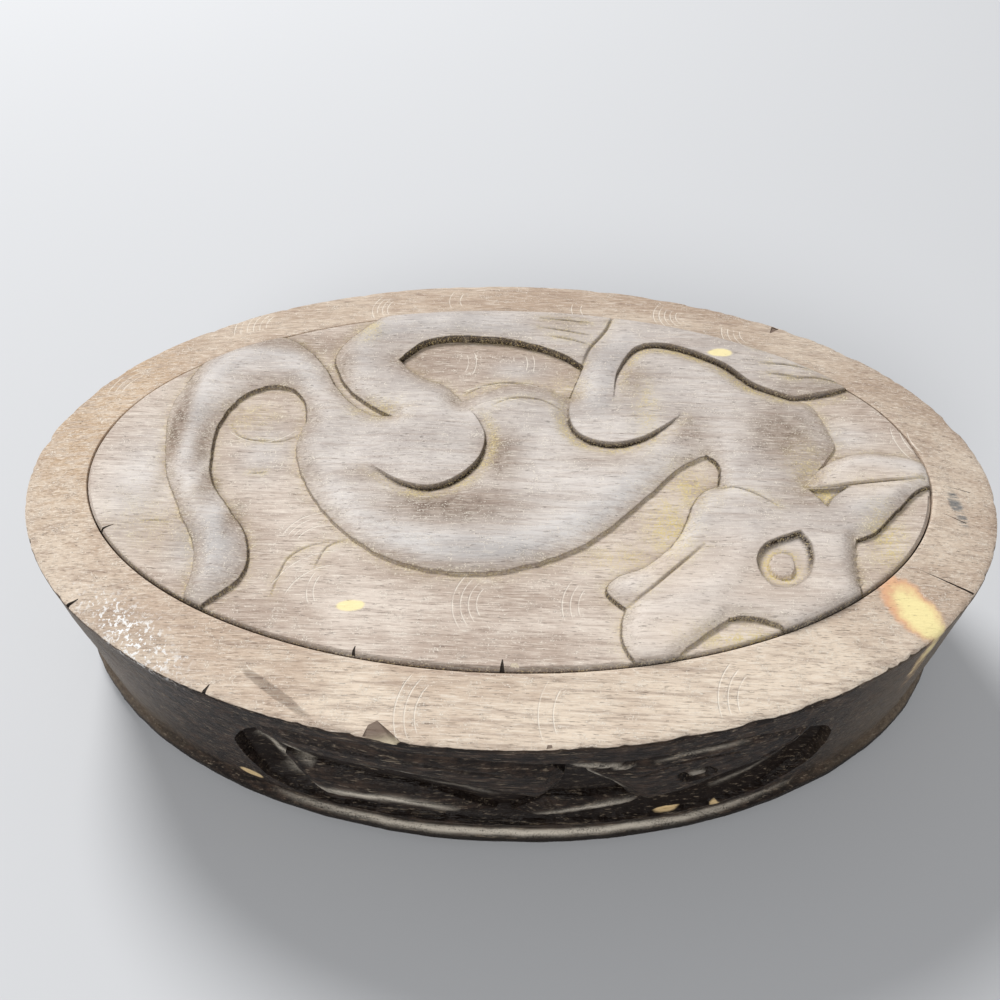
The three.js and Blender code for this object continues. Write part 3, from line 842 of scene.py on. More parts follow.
class CarvedTop:
    # the lid's top at points (x, y): height above the sunk ground, and shares of painted shade with dirt in
    # the cuts, of dust, of polish with a painted sheen, and of painted shade on slopes and hollows
    def __init__(self, place, paths):
        self.place = place
        self.paths = paths
        self.waver = roughness(np.column_stack([place, place[:, 0] * 0]), 1.1, 3.3)
        self.raiseAnimal()
        self.cutSickles()
        self.cutLines()
        self.cutEye()
        self.cutEarPit()
        for centre, reach, strength in dustySpots:
            self.settle(strength * mound(place, centre, reach))
        self.polishAndShade()
        # painted shade in the gap round the lid, most of it at the front
        self.addShade(0.85 * eased(edgeDepth(place), 0.6, 0.1) * eased(-place[:, 1], 8, 34))
        self.shadeAndDirt = np.clip(self.shadeAndDirt, 0, 1)
        self.dust = np.clip(self.dust, 0, 1)

    def addShade(self, share):
        self.shadeAndDirt = np.maximum(self.shadeAndDirt, share)

    def settle(self, share):
        self.dust = np.maximum(self.dust, share)

    def swelling(self):
        # the rounding of body and limbs in millimetres, and the share of a crest
        domes = sum(rise * mound(self.place, centre, reach) for centre, reach, rise in swells)
        ridge = np.zeros(len(self.place))
        for breadth, rise, points in crests:
            gap, _, along, _ = measure(self.place, smoothPath(points))
            crest = np.exp(-((gap / breadth) ** 2)) * tapered(along, 0.5)
            domes += rise * crest
            ridge = np.maximum(ridge, crest)
        return domes, ridge

    def raiseAnimal(self):
        # the animal stands over the ground, with painted shade at the foot of its crisp edges and dust beside
        # them
        place, animal, hole = self.place, self.paths["animal"], self.paths["hole"]
        share, near = raisedForm(place, animal + hole)
        onAnimal = inside(place, polygonOf(animal)) & ~inside(place, polygonOf(hole)) | (near < atEdge)
        domes, self.ridge = self.swelling()
        rollOff = rounded((edgeDepth(place) - 0.1) / carving["edgeFall"])
        raised = (carving["relief"] + domes) * share * rollOff
        self.height = np.where(onAnimal, raised, -carving["groundSink"] * np.exp(-near / 3.5))
        self.slope = 1 - share
        crispness = np.zeros(len(place))
        for step, _, path in animal + hole:
            gap, *_ = measure(place, path, 3)
            crispness = np.maximum(crispness, step * np.exp(-gap))
        footShade = eased(near + 0.15 * self.waver, 0.3 + 0.45 * crispness, 0.14 + 0.2 * crispness)
        edgeShade = np.where(onAnimal, 0.8 * eased(near, 0.22, 0), footShade)
        self.shadeAndDirt = edgeShade * eased(crispness, 0.22, 0.42)
        self.dust = np.where(onAnimal, 0.15, 0.55) * np.exp(-near / 1.1)
        self.onAnimal, self.near = onAnimal, near

    def cutSickles(self):
        # facing is 1 where the cut's wall looks to the front, and the band of painted shade is widest there
        for side, breadth, deep, path in self.paths["sickles"]:
            gap, turn, along, foot = measure(self.place, path)
            facing = np.clip((foot[:, 1] - self.place[:, 1]) / np.maximum(gap, 0.05), 0, 1)
            ends = tapered(along, 0.55, 0.015)
            far = (turn * side > 0) & (gap > atEdge)
            cut = ends * np.clip(1 - gap / (breadth * (0.35 + 0.65 * ends)), 0, 1) ** 1.5
            self.height -= np.where(far & self.onAnimal, deep * cut, 0)
            self.slope = np.maximum(self.slope, np.where(far, cut, 0))
            band = eased(gap + 0.35 * self.waver, 0.55 + 0.85 * facing, 0.1 + 0.45 * facing)
            self.addShade(ends * np.where(far, band, 0.4 * eased(gap, 0.2, 0)))
            self.settle(np.where(far, 0.8 * ends * np.exp(-(((gap - 1.9) / 1.3) ** 2)), 0))

    def cutLines(self):
        for breadth, deep, path in self.paths["lines"]:
            gap, _, along, _ = measure(self.place, path)
            groove = np.clip(1 - gap / breadth, 0, 1) * tapered(along, 0.4, 0.03)
            self.height -= deep * groove
            self.addShade(0.6 * groove)
            self.settle(0.5 * np.exp(-gap / 0.9))

    def cutEye(self):
        # a socket with painted shade, darkest under its upper edge, round a raised and dusty pupil
        x, y = self.place.T
        eye, pupil = self.paths["eye"], self.paths["pupil"]
        eyeGap, pupilGap = (measure(self.place, edges[0][2])[0] for edges in (eye, pupil))
        onPupil = inside(self.place, polygonOf(pupil))
        ring = inside(self.place, polygonOf(eye)) & ~onPupil & (eyeGap > atEdge)
        socket = carving["eyeDepth"] * rounded(eyeGap / 1.3) * (1 - 0.3 * eased(y, -26, -29))
        drop = carving["pupilDepth"] - carving["pupilDome"] * rounded(pupilGap / 2)
        self.height -= np.where(onPupil, drop, np.where(ring, socket, 0))
        upper = eased(y - 0.35 * (54 - x), -25, -19)
        socketShade = (0.35 + 0.65 * upper) * eased(eyeGap, 1.5, 0.4)
        self.addShade(np.where(ring, socketShade, 0.35 * eased(eyeGap, 0.3, 0)))
        self.settle(np.where(ring, np.exp(-((pupilGap / 1.6) ** 2)), 0))

    def cutEarPit(self):
        edges = self.paths["earPit"]
        inPit = inside(self.place, polygonOf(edges))
        gap = np.minimum.reduce([measure(self.place, path)[0] for *_, path in edges])
        self.height -= np.where(inPit, carving["pitDepth"] * rounded(gap / 1.8), 0)
        self.addShade(0.55 * np.where(inPit & (gap > atEdge), eased(gap, 0.9, 0.3), eased(gap, 0.3, 0)))
        self.settle(np.where(inPit, 0.8, 0))

    def polishAndShade(self):
        # hands have polished what stands out, and the polish carries a painted sheen and a painted highlight
        # on the crests; the slopes and hollows get painted brown shade
        place, slope, ridge = self.place, self.slope, self.ridge
        polish = np.where(self.onAnimal, 0.75 * np.clip(1.1 - slope, 0, 1) + 0.5 * ridge, 0.1)
        shade = np.where(self.onAnimal, slope * (1 - ridge) ** 2, 0.3 * np.exp(-self.near / 2.5))
        for centre, reach in glossySpots:
            polish = np.maximum(polish, 0.8 * mound(place, centre, reach))
        for centre, reach in tanSpots:
            tan = mound(place, centre, reach)
            polish *= 1 - 0.9 * tan
            shade *= 1 - 0.6 * tan
        for centre, reach, strength in shadedHollows:
            spot = strength * mound(place, centre, reach)
            polish *= 1 - 0.8 * spot
            shade = np.maximum(shade, spot)
        self.polish, self.shade = polish, shade


def edgeDepth(place):
    # distance in from the lid's edge
    radius = np.hypot(place[:, 0] / lidHalf, place[:, 1] / lidHalfWidth)
    slope = np.hypot(place[:, 0] / lidHalf**2, place[:, 1] / lidHalfWidth**2)
    middle = radius < 0.2
    return np.where(middle, lidHalfWidth * (1 - radius), (1 - radius) * radius / np.where(middle, 1, slope))


def lidGrid():
    # a square grid of faces drawn out to an oval
    deselectAll()
    bpy.ops.mesh.primitive_grid_add(
        x_subdivisions=carving["gridX"], y_subdivisions=carving["gridY"], size=2
    )
    piece = bpy.context.active_object
    piece.name = "carvedLid"
    place = coordinates(piece.data) * mm
    x, y = place[:, 0].copy(), place[:, 1].copy()
    place[:, 0] = x * np.sqrt(1 - y**2 / 2) * lidHalf
    place[:, 1] = y * np.sqrt(1 - x**2 / 2) * lidHalfWidth
    place[:, 2] = carving["ground"]
    moveVertices(piece.data, place)
    return piece


def closeLid(piece):
    # the upright side and the flat underside, drawn down from the edge of the carved top
    seam, soft = carving["seam"], carving["underEdge"]
    activate(piece)
    bpy.ops.object.mode_set(mode="EDIT")
    bpy.context.tool_settings.mesh_select_mode = (False, True, False)
    bpy.ops.mesh.select_all(action="DESELECT")
    bpy.ops.mesh.select_non_manifold()
    bpy.ops.mesh.extrude_edges_move()
    bpy.ops.transform.resize(value=(1, 1, 0), center_override=(0, 0, (lidLow.z + seam) * mm))
    for fall in (seam - soft, soft):
        bpy.ops.mesh.extrude_edges_move()
        bpy.ops.transform.translate(value=(0, 0, -fall * mm))
    bpy.ops.transform.resize(value=carving["underShrink"], center_override=(0, 0, 0))
    bpy.ops.mesh.edge_face_add()
    bpy.ops.object.mode_set(mode="OBJECT")


def lidTop(spots):
    # the carved top laid flat: points as (x, y), and which of the spots are on it
    return spots[:, :2], spots[:, 2] > lidLow.z + 1


def makeLid():
    piece = lidGrid()
    mesh = piece.data
    paths = lidPaths()
    crisp = crispPaths(paths)
    refineNear(piece, lidTop, crisp + [path for *_, path in paths["lines"]], carving["fineBands"])
    place = coordinates(mesh)
    free = edgeDepth(place) > carving["plainEdge"]
    place[free, :2] = snapped(place[free, :2], crisp, carving["snapReach"])
    top = CarvedTop(place[:, :2], paths)
    uneven = carving["sway"] * roughness(place, 15, 2.2)
    uneven += carving["knifeMarks"] * roughness(place, 3.1, 6.6, 0.4)
    roll = carving["edgeRound"]
    fall = roll * (1 - rounded(edgeDepth(place) / roll))
    place[:, 2] = carving["ground"] + top.height + uneven - fall
    moveVertices(mesh, place)
    print(f"lid: {len(mesh.polygons)} faces on the carved top")
    closeLid(piece)
    cutAway(piece, [wedge(*nick) for nick in lidNicks])
    finishMesh(piece)
    place = coordinates(mesh)
    top = CarvedTop(place[:, :2], paths)
    onTop = place[:, 2] > carving["ground"] - 2.5
    for name, field, below in (("cutShadeAndDirt", top.shadeAndDirt, 0), ("dust", top.dust, 0), ("polish", top.polish, 0.2),
                               ("shade", top.shade, 0.5)):
        paintPoints(mesh, name, np.where(onTop, field, below))
    pale = sum(mound(place[:, :2], centre, reach) for centre, reach in tanSpots)
    paintPoints(mesh, "pale", np.clip(pale, 0, 1))
    return piece


# Finishes

class Wire:
    # a socket of the shader, so that its maths reads as plain sums
    def __init__(self, finish, socket):
        self.finish = finish
        self.socket = socket

    def __add__(self, other):
        return self.finish.maths("ADD", self, other)

    def __sub__(self, other):
        return self.finish.maths("SUBTRACT", self, other)

    def __rsub__(self, other):
        return self.finish.maths("SUBTRACT", other, self)

    def __mul__(self, other):
        return self.finish.maths("MULTIPLY", self, other)

    def __truediv__(self, other):
        return self.finish.maths("DIVIDE", self, other)

    __radd__ = __add__
    __rmul__ = __mul__


class Finish:
    # one material and the nodes that make it
    def __init__(self, name):
        self.material = bpy.data.materials.new(name)
        self.material.use_nodes = True
        self.tree = self.material.node_tree
        self.tree.nodes.clear()
        self.base = None  # the colour so far

    def node(self, kind, settings=None, inputs=None, output=0):
        made = self.tree.nodes.new(kind)
        for key, value in (settings or {}).items():
            setattr(made, key, value)
        for key, value in (inputs or {}).items():
            if isinstance(value, Wire):
                self.tree.links.new(value.socket, made.inputs[key])
            else:
                made.inputs[key].default_value = value
        return Wire(self, made.outputs[output]) if len(made.outputs) else made

    def maths(self, operation, *values):
        return self.node("ShaderNodeMath", {"operation": operation}, dict(enumerate(values)))

    def rise(self, value, low, high):
        # 0 below low and 1 above high, with an eased step between
        ends = {"Value": value, "From Min": low, "From Max": high}
        return self.node("ShaderNodeMapRange", {"interpolation_type": "SMOOTHSTEP"}, ends)

    def tint(self, share, first, second):
        # first where share is 0, second where it is 1: each a tone's name or a socket
        ends = {0: share, 6: tones.get(first, first), 7: tones.get(second, second)}
        return self.node("ShaderNodeMix", {"data_type": "RGBA"}, ends, 2)

    def lay(self, share, colour):
        # a wash of another colour over what is there so far
        self.base = self.tint(share, self.base, colour)

    def attribute(self, name):
        return self.node("ShaderNodeAttribute", {"attribute_name": name}, output="Fac")

    def mapped(self, place, scale, turn=0.0):
        knobs = {"Vector": place, "Rotation": (0, 0, math.radians(turn)), "Scale": scale}
        return self.node("ShaderNodeMapping", None, knobs)

    def cloud(self, place, scale, detail=3.0, rough=0.55):
        knobs = {"Vector": place, "Scale": scale, "Detail": detail, "Roughness": rough}
        return self.node("ShaderNodeTexNoise", None, knobs, "Fac")

    def grainCloud(self, place, along, across, detail=3.0, rough=0.55):
        # noise drawn out along the grain: its scale along the box and across it
        return self.cloud(self.mapped(place, (along, across, across)), 1.0, detail, rough)

    def strongest(self, layers):
        # the greatest of several shares at each point
        most, *others = layers
        for layer in others:
            most = self.maths("MAXIMUM", most, layer)
        return most

    def vector(self, operation, first, second):
        return self.node("ShaderNodeVectorMath", {"operation": operation}, {0: first, 1: second})

    def length(self, vector):
        return self.node("ShaderNodeVectorMath", {"operation": "LENGTH"}, {0: vector}, "Value")

    def patch(self, place, centre, reach, turn, waver, fade=0.3):
        # an oval patch with a wavering edge, turned about the upright: centre and half-sizes in millimetres
        knobs = {"Vector": self.vector("SUBTRACT", place, centre), "Angle": math.radians(-turn)}
        turned = self.node("ShaderNodeVectorRotate", {"rotation_type": "Z_AXIS"}, knobs)
        sized = self.vector("DIVIDE", turned, reach)
        return self.rise(self.length(sized) + waver, 1.0, 1 - fade)

    def mark(self, place, name, waver):
        centre, reach, turn, fade = rimMarks[name]
        return self.patch(place, centre, reach, turn, waver, fade)


def screenColour(code):
    # a colour written as it looks on a screen, turned into light
    parts = [int(code[i:i + 2], 16) / 255 for i in (0, 2, 4)]
    return (*(part / 12.92 if part <= 0.04045 else ((part + 0.055) / 1.055) ** 2.4 for part in parts), 1)


woodTones = {
    "rimPale": "e7d6c2", "rimTan": "c4ae9a", "rimDusk": "907a67", "straw": "cfae84",
    "groundPale": "dccdbf", "groundTaupe": "b9a595",
    "reliefPale": "dfdad6", "reliefGrey": "bdb8b5",
    "backShade": "8a7668", "slope": "78685b", "cut": "1c1510", "cutBrown": "57452f",
    "fibre": "6a584d", "streak": "9a8577", "bright": "f3eadc", "pore": "453830",
    "sideDark": "170f0b", "sideBrown": "43342a", "sideScuff": "9a8a76",
    "sideRubbedSheen": "94836f", "wornHighlight": "d6ccbc",
    "dust": "d2be7e", "chip": "d9cbb0", "powder": "f4f3f1", "raw": "8d705a", "stain": "5b676e",
    "sap": "fcecae", "sapEdge": "e4b08a", "fleck": "e6c896",
}
tones = {name: screenColour(code) for name, code in woodTones.items()}

# Groups of arcs left by the scraper: x and y of their centre, radius, gap, number, direction, half-angle
scraperArcs = [
    (-28.0, -32.0, 6.0, 1.25, 2, 180, 32),
    (2.0, -34.0, 5.2, 1.5, 4, 178, 42),
    (22.0, -34.0, 6.4, 1.5, 3, 172, 30),
    (-34.0, -22.5, 5.4, 1.1, 4, 128, 34),
    (-30.0, -36.0, 9.5, 3.4, 2, 128, 40),
    (-17.5, 30.0, 8.2, 1.8, 2, 0, 22),
    (-4.0, 30.0, 8.0, 1.6, 2, 2, 18),
    (0.0, 6.0, 11.4, 6.4, 2, 92, 34),
    (-52.0, 14.0, 9.4, 2.0, 1, 272, 55),
    (-52.5, 44.0, 6.0, 1.5, 6, 172, 30),
    (-24.0, 50.0, 6.2, 1.2, 4, 178, 34),
    (-6.0, 54.0, 7.0, 2.6, 2, 180, 26),
    (22.0, 50.5, 6.0, 2.2, 2, 184, 24),
    (43.0, 49.0, 4.6, 1.3, 5, 186, 40),
    (58.0, 43.0, 5.2, 1.4, 4, 190, 30),
    (-5.0, -56.0, 7.6, 1.8, 3, 172, 38),
    (20.0, -55.0, 8.6, 2.6, 2, 176, 30),
    (50.0, -51.0, 6.6, 1.7, 3, 168, 34),
    (-80.0, 20.0, 6.5, 1.7, 3, 150, 32),
    (92.0, 12.0, 7.4, 1.8, 3, 200, 28),
]


def arcMarks(finish, grain):
    # all the groups of arcs on the level faces, broken up by the grain
    level = finish.vector("MULTIPLY", grain["place"], (1, 1, 0))
    broken = finish.rise(grain["mottle"] + grain["speck"] * 0.4, 0.45, 0.75)
    groups = []
    for x, y, radius, gap, number, heading, halfAngle in scraperArcs:
        towards = (math.cos(math.radians(heading)), math.sin(math.radians(heading)), 0)
        arm = finish.vector("SUBTRACT", level, (x, y, 0))
        reach = finish.length(arm)
        across = {0: arm, 1: towards}
        facing = finish.node("ShaderNodeVectorMath", {"operation": "DOT_PRODUCT"}, across, "Value")
        ring = finish.maths("PINGPONG", reach - (radius - gap / 2), gap / 2)
        line = finish.rise(ring, gap / 2 - 0.2, gap / 2 - 0.02)
        band = finish.maths("COMPARE", reach, radius + gap * (number - 1) / 2, gap * number / 2)
        edge = math.cos(math.radians(halfAngle))
        window = finish.rise(facing / reach, edge, edge + (1 - edge) * 0.5)
        groups.append(line * band * window)
    return finish.strongest(groups) * broken


def grainFields(finish):
    # noise fields in millimetres: the grain runs along the box, through its sides too
    objectPlace = finish.node("ShaderNodeTexCoord", None, None, "Object")
    place = finish.mapped(objectPlace, (1 / mm, 1 / mm, 1 / mm))
    fields = {
        "place": place,
        "broad": finish.grainCloud(place, 0.014, 0.07),
        "tone": finish.cloud(place, 0.05, 3, 0.6),
        "mottle": finish.cloud(place, 0.36, 4, 0.65),
        "streak": finish.grainCloud(place, 0.06, 1.1, 4, 0.65),
        "fibre": finish.grainCloud(place, 0.28, 4.2, 3, 0.65),
        "speck": finish.cloud(place, 3.0, 2, 0.6),
    }
    woodTone = fields["broad"] * 0.5 + fields["tone"] * 0.5 + fields["mottle"] * 0.15
    fields["toneShare"] = finish.rise(woodTone, 0.46, 0.68)  # where the wood is pale
    fields["pores"] = finish.rise(finish.grainCloud(place, 0.5, 3.8, 1), 0.68, 0.75)
    scratches = []
    for turn, offset in ((28, 0.0), (-50, 40.0), (76, 90.0)):
        moved = finish.vector("ADD", place, (offset, offset, 0))
        lines = finish.cloud(finish.mapped(moved, (0.07, 3.6, 1.0), turn), 1.0, 2)
        scratches.append(finish.rise(lines, 0.7, 0.75))
    fields["scratches"] = finish.strongest(scratches)
    return fields


def workedGrain(finish, grain, openGrain):
    # fibres, streaks, pores, scratches and pale specks over the colour: openGrain is how much of them shows
    finish.lay(finish.rise(grain["streak"], 0.46, 0.66) * 0.5 * openGrain, "streak")
    finish.lay(finish.rise(grain["fibre"], 0.53, 0.7) * 0.55 * openGrain, "fibre")
    finish.lay(finish.rise(grain["fibre"], 0.47, 0.32) * 0.55 * openGrain, "bright")
    blotches = finish.rise(grain["mottle"] * 0.7 + grain["speck"] * 0.3, 0.52, 0.64)
    finish.lay(blotches * 0.22, "fibre")
    finish.lay(grain["pores"] * 0.4, "pore")
    scratched = grain["scratches"] * finish.rise(grain["mottle"], 0.45, 0.65)
    finish.lay(scratched * 0.4, "bright")
    specks = finish.rise(grain["speck"] + grain["mottle"] * 0.5, 0.86, 0.95)
    finish.lay(specks * 0.6, "bright")


def shadeTowardsBack(finish, grain):
    # 0 at the front of the top and 1 at its back: the share of painted shade that darkens the back
    return finish.rise(finish.node("ShaderNodeSeparateXYZ", None, {"Vector": grain["place"]}, "Y"), -45, 45)


def surface(finish, height, shine, gloss):
    bump = {"Strength": 0.75, "Distance": 1.5 * mm, "Height": height}
    normal = finish.node("ShaderNodeBump", None, bump, "Normal")
    knobs = {"Base Color": finish.base, "Roughness": shine, "Normal": normal, "Specular IOR Level": gloss}
    shader = finish.node("ShaderNodeBsdfPrincipled", None, knobs, "BSDF")
    finish.node("ShaderNodeOutputMaterial", None, {"Surface": shader})
    return finish.material


def grainHeight(grain):
    height = grain["fibre"] * -0.09 + grain["streak"] * -0.06 + grain["pores"] * -0.08
    return height + grain["mottle"] * 0.05 + grain["speck"] * 0.04 + grain["scratches"] * -0.04


def lidWood():
    finish = Finish("lidWood")
    grain = grainFields(finish)
    place = grain["place"]
    names = ("polish", "shade", "cutShadeAndDirt", "dust", "pale")
    polish, shade, shadeAndDirt, dust, pale = (finish.attribute(name) for name in names)
    toneShare = grain["toneShare"] + pale * 0.6
    ground = finish.tint(toneShare, "groundTaupe", "groundPale")
    # the relief is paler and cooler where polished: real polish with a painted sheen
    finish.base = finish.tint(polish, ground, finish.tint(toneShare, "reliefGrey", "reliefPale"))
    # painted shade, brown, on the slopes and in the hollows of the relief
    finish.lay(shade * (0.5 + finish.rise(grain["mottle"], 0.35, 0.65) * 0.45), "slope")
    # painted shade, darker towards the back
    finish.lay(shadeTowardsBack(finish, grain) * 0.25, "backShade")
    workedGrain(finish, grain, 1 - polish * 0.45 - pale * 0.35)
    waver = (grain["mottle"] - 0.5) * 0.8
    for x, y, long, across in lidFlecks:
        fleck = finish.patch(place, (x, y, 51.0), (long, across, 20.0), 4, waver * 0.6)
        finish.lay(fleck * 0.8, "sap")
    settled = finish.rise(grain["mottle"] * 0.45 + grain["speck"] * 0.7 + grain["fibre"] * 0.15, 0.6, 0.76)
    finish.lay(dust * (0.1 + settled * 0.9), "dust")
    # painted shade and dirt in the cuts: near black, with brown fibres in it
    fibres = finish.rise(grain["fibre"] * 0.6 + grain["speck"] * 0.4, 0.42, 0.62)
    finish.lay(shadeAndDirt * (1 - settled * 0.35), finish.tint(fibres, "cut", "cutBrown"))
    crumbs = finish.rise(grain["speck"] * 0.7 + grain["fibre"] * 0.4, 0.6, 0.68)
    finish.lay(shadeAndDirt * crumbs * 0.6, "dust")
    finish.lay(finish.attribute("chip") * 0.6, "chip")
    finish.lay(finish.attribute("crack") * 0.9, "cut")
    arcs = arcMarks(finish, grain)
    finish.lay(arcs * 0.65, "bright")
    shine = 0.66 + grain["mottle"] * 0.14 + shadeAndDirt * 0.3 - polish * 0.16
    return surface(finish, grainHeight(grain) - arcs * 0.07, shine, 0.28)


# Marks that sit at one place on the box: centre, half-sizes, turn in degrees, how soft the edge is
rimMarks = {
    "straw": ((-90.0, 20.0, 48.0), (26.0, 50.0, 60.0), 12, 0.7),
    "stripe": ((-38.0, -52.5, 48.0), (9.5, 1.1, 12.0), -33, 0.3),
    "stain": ((90.8, -7.0, 48.0), (1.7, 6.5, 30.0), 8, 0.5),
    "sap": ((77.2, -30.8, 48.0), (8.4, 4.9, 30.0), -50, 0.3),
    "heart": ((78.6, -32.0, 48.0), (8.4, 4.5, 30.0), -50, 0.6),
    "powder": ((-67.0, -42.0, 48.5), (21.0, 7.0, 4.5), -37, 0.85),
}
sideFlecks = [(-50.0, 11.2, 2.9, 1.9), (35.0, 9.3, 3.2, 0.4), (45.0, 9.0, 1.3, 0.5)]  # x, height, half-sizes
lidFlecks = [(-26.5, -35.5, 3.0, 1.4), (47.0, 33.4, 3.2, 1.5), (61.5, 39.0, 1.6, 1.2)]  # x, y, half-sizes


def blockWood():
    finish = Finish("blockWood")
    grain = grainFields(finish)
    place = grain["place"]
    axis = {name: finish.node("ShaderNodeSeparateXYZ", None, {"Vector": place}, name) for name in "XZ"}
    side, shadeAndDirt, wearAndHighlight, hollow = (finish.attribute(name) for name in ("side", "cutShadeAndDirt", "wearAndHighlight", "hollow"))
    finish.base = finish.tint(grain["toneShare"], "rimTan", "rimPale")
    # painted shade, darker towards the back of the rim
    finish.lay(shadeTowardsBack(finish, grain) * 0.38, "rimDusk")
    finish.lay(finish.rise(axis["X"], -60, -98) * 0.26, "rimDusk")
    waver = (grain["mottle"] - 0.5) * 0.9
    strawy = finish.mark(place, "straw", waver)
    finish.lay(strawy * finish.rise(grain["streak"], 0.42, 0.6) * 0.6, "straw")
    finish.lay(hollow * 0.75, "raw")
    workedGrain(finish, grain, 1.0)

    stripe = finish.mark(place, "stripe", waver * 0.7)
    finish.lay(stripe * 0.4, "pore")
    stain = finish.mark(place, "stain", waver * 1.4)
    finish.lay(stain * finish.rise(grain["streak"], 0.4, 0.6) * 0.7, "stain")

    # the side is nearly black, with scuffs along the grain
    wallShare = finish.rise(grain["streak"] * 0.6 + grain["mottle"] * 0.5, 0.48, 0.72)
    wall = finish.tint(wallShare, "sideDark", "sideBrown")
    along = finish.maths("ABSOLUTE", axis["X"])
    pitted = finish.rise(grain["streak"] * 0.55 + grain["speck"] * 0.35 + grain["mottle"] * 0.2, 0.42, 0.7)
    # towards the ends of the side: rubbed paler, with a painted sheen
    endWearAndSheen = finish.rise(along + grain["mottle"] * 20, 65, 108) * (0.74 - pitted * 0.5)
    wall = finish.tint(endWearAndSheen, wall, "sideRubbedSheen")
    scuffs = finish.rise(finish.grainCloud(place, 0.1, 1.2, 5, 0.7), 0.6, 0.7)
    wall = finish.tint(scuffs * 0.85, wall, "sideScuff")
    # painted shade and grime in the sunk panel, its grooves and the eye
    wall = finish.tint(shadeAndDirt, wall, "sideDark")
    nicked = finish.rise(finish.grainCloud(place, 0.28, 1.7, 5, 0.75), 0.56, 0.66)
    wall = finish.tint(nicked * 0.5, wall, "sideScuff")
    # painted shadow under the bead of the foot: near black below about 5 mm
    wall = finish.tint(finish.rise(axis["Z"], 6.1, 5.1), wall, "cut")
    # wear with a painted highlight on the crests of the panel and along the bead
    rubbed = finish.rise(grain["speck"] * 0.6 + grain["streak"] * 0.6, 0.36, 0.66)
    wall = finish.tint(wearAndHighlight * rubbed, wall, "wornHighlight")
    finish.lay(finish.rise(side + (grain["mottle"] - 0.5) * 0.5, 0.4, 0.65), wall)

    # sapwood, flecks, powder and broken edges lie over both rim and side
    sap = finish.mark(place, "sap", waver * 0.6)
    heart = finish.mark(place, "heart", waver)
    sapwood = finish.tint(heart, "sapEdge", "sap")
    finish.lay(sap * 0.96, finish.tint(grain["pores"] * 0.3, sapwood, "streak"))
    for x, height, long, tall in sideFlecks:
        fleck = finish.patch(place, (x, -50.0, height), (long, 12.0, tall), 0, waver * 0.3)
        finish.lay(fleck * 0.9, "fleck")
    powder = finish.mark(place, "powder", waver * 1.3)
    grit = finish.rise(finish.cloud(place, 1.15, 3, 0.7), 0.52, 0.6)
    finish.lay(powder * 0.25, "rimDusk")
    finish.lay(powder * grit, "powder")
    # painted shade on the upper walls of the chips, paler towards their floor
    shadedChip = finish.tint(finish.rise(axis["Z"], 46.2, 47.4), "chip", "fibre")
    finish.lay(finish.attribute("chip") * 0.85, shadedChip)
    finish.lay(finish.attribute("crack") * 0.9, "cut")
    arcs = arcMarks(finish, grain) * (1 - side)
    finish.lay(arcs * 0.65, "bright")
    scored = finish.grainCloud(place, 0.22, 0.8, 4, 0.65)
    height = grainHeight(grain) - arcs * 0.07 + side * scored * 0.4
    shine = 0.72 + grain["mottle"] * 0.12 - side * 0.36
    return surface(finish, height, shine, 0.17)


# Floor, lamps and camera

studio = {
    "floor": "cdced0",
    "sky": "f2f4f7",
    "skyLevel": 0.32,
    "backdropLevel": 0.8,  # how bright the sky looks to the camera
    "key": {"place": (-0.55, 1.0, 1.15), "size": 0.55, "power": 24.0},
    "fill": {"place": (-0.25, -1.0, 0.75), "size": 0.5, "power": 7.0},
}
view = {
    "aim": (-0.14, -8.92, 50.0),  # where the middle of the picture meets the rim's plane
    "distance": 201.01,
    "elevation": 50.97,
    "turn": 4.23,  # the camera stands this far to the right of straight ahead
    "roll": -1.66,
    "lens": 36.0,
}


def makeFloor():
    deselectAll()
    bpy.ops.mesh.primitive_plane_add(size=6)
    floor = bpy.context.active_object
    floor.name = "floor"
    finish = Finish("paleFloor")
    shader = finish.node("ShaderNodeBsdfDiffuse", None, {"Color": screenColour(studio["floor"])}, "BSDF")
    finish.node("ShaderNodeOutputMaterial", None, {"Surface": shader})
    floor.data.materials.append(finish.material)


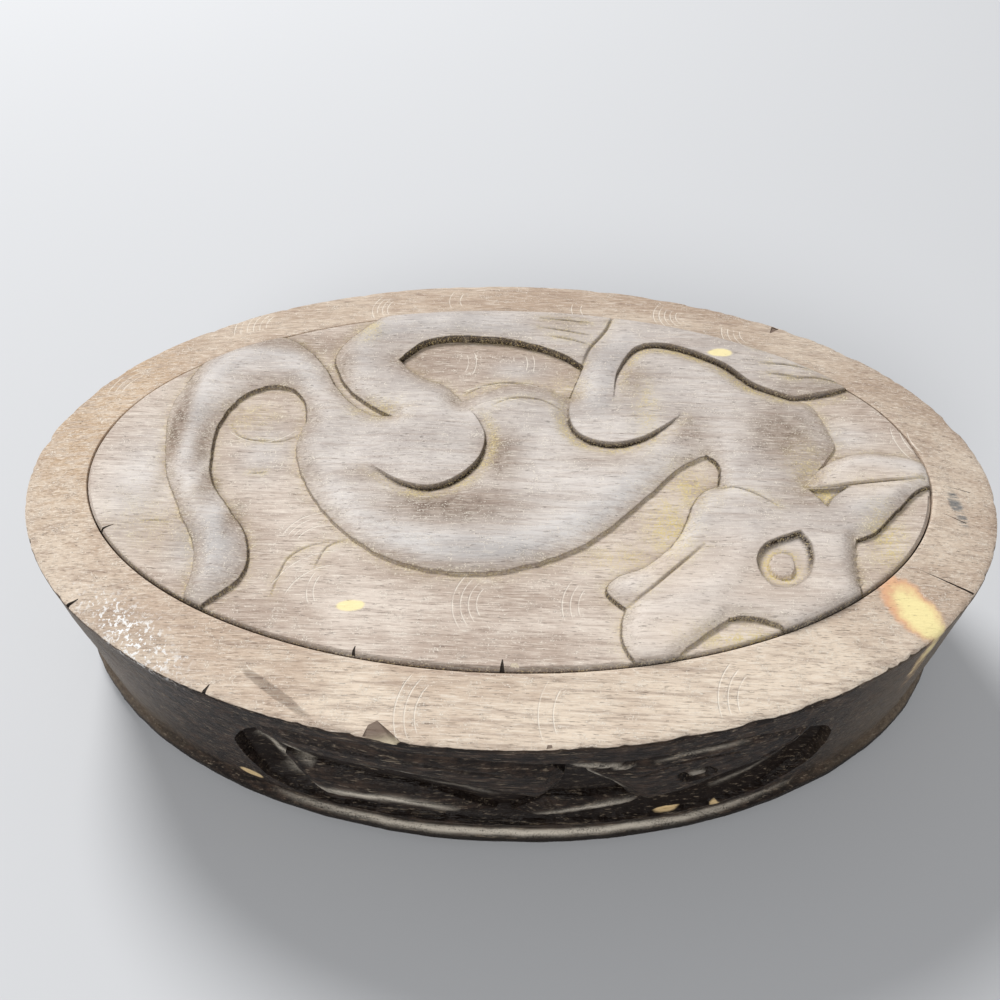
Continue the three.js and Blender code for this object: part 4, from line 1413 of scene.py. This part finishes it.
def makeLamp(name):
    knobs = studio[name]
    lamp = bpy.data.lights.new(name, "AREA")
    lamp.shape = "DISK"
    lamp.size = knobs["size"]
    lamp.energy = knobs["power"]
    holder = bpy.data.objects.new(name, lamp)
    holder.location = knobs["place"]
    holder.rotation_euler = (-Vector(knobs["place"])).to_track_quat("-Z", "Y").to_euler()
    bpy.context.scene.collection.objects.link(holder)


def makeSky():
    world = bpy.data.worlds.new("sky")
    world.use_nodes = True
    nodes, links = world.node_tree.nodes, world.node_tree.links
    light = nodes["Background"]
    light.inputs["Color"].default_value = screenColour(studio["sky"])
    seen = nodes.new("ShaderNodeLightPath")
    level = nodes.new("ShaderNodeMapRange")
    level.inputs["To Min"].default_value = studio["skyLevel"]
    level.inputs["To Max"].default_value = studio["backdropLevel"]
    links.new(seen.outputs["Is Camera Ray"], level.inputs["Value"])
    links.new(level.outputs["Result"], light.inputs["Strength"])
    bpy.context.scene.world = world


def makeCamera():
    rise, turn = math.radians(view["elevation"]), math.radians(view["turn"])
    away = Vector((math.sin(turn) * math.cos(rise), -math.cos(turn) * math.cos(rise), math.sin(rise)))
    lens = bpy.data.cameras.new("camera")
    lens.lens = view["lens"]
    lens.sensor_width = 36
    lens.clip_start = 0.01
    camera = bpy.data.objects.new("camera", lens)
    roll = Matrix.Rotation(math.radians(view["roll"]), 3, "Z")
    facing = (-away).to_track_quat("-Z", "Y").to_matrix() @ roll
    place = (Vector(view["aim"]) + away * view["distance"]) * mm
    camera.matrix_world = Matrix.Translation(place) @ facing.to_4x4()
    bpy.context.scene.collection.objects.link(camera)
    bpy.context.scene.camera = camera


makeCamera()
makeFloor()
for name in ("key", "fill"):
    makeLamp(name)
makeSky()
bpy.context.scene.view_settings.view_transform = "Standard"
print("studio: camera, floor and lamps set")

carvedBlock = makeBlock()
carvedBlock.data.materials.append(blockWood())
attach(carvedBlock, "box")
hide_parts("box_body")
print("block: wood finish on")

carvedLid = makeLid()
carvedLid.data.materials.append(lidWood())
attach(carvedLid, "lid")
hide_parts("lid")
print("lid: wood finish on")
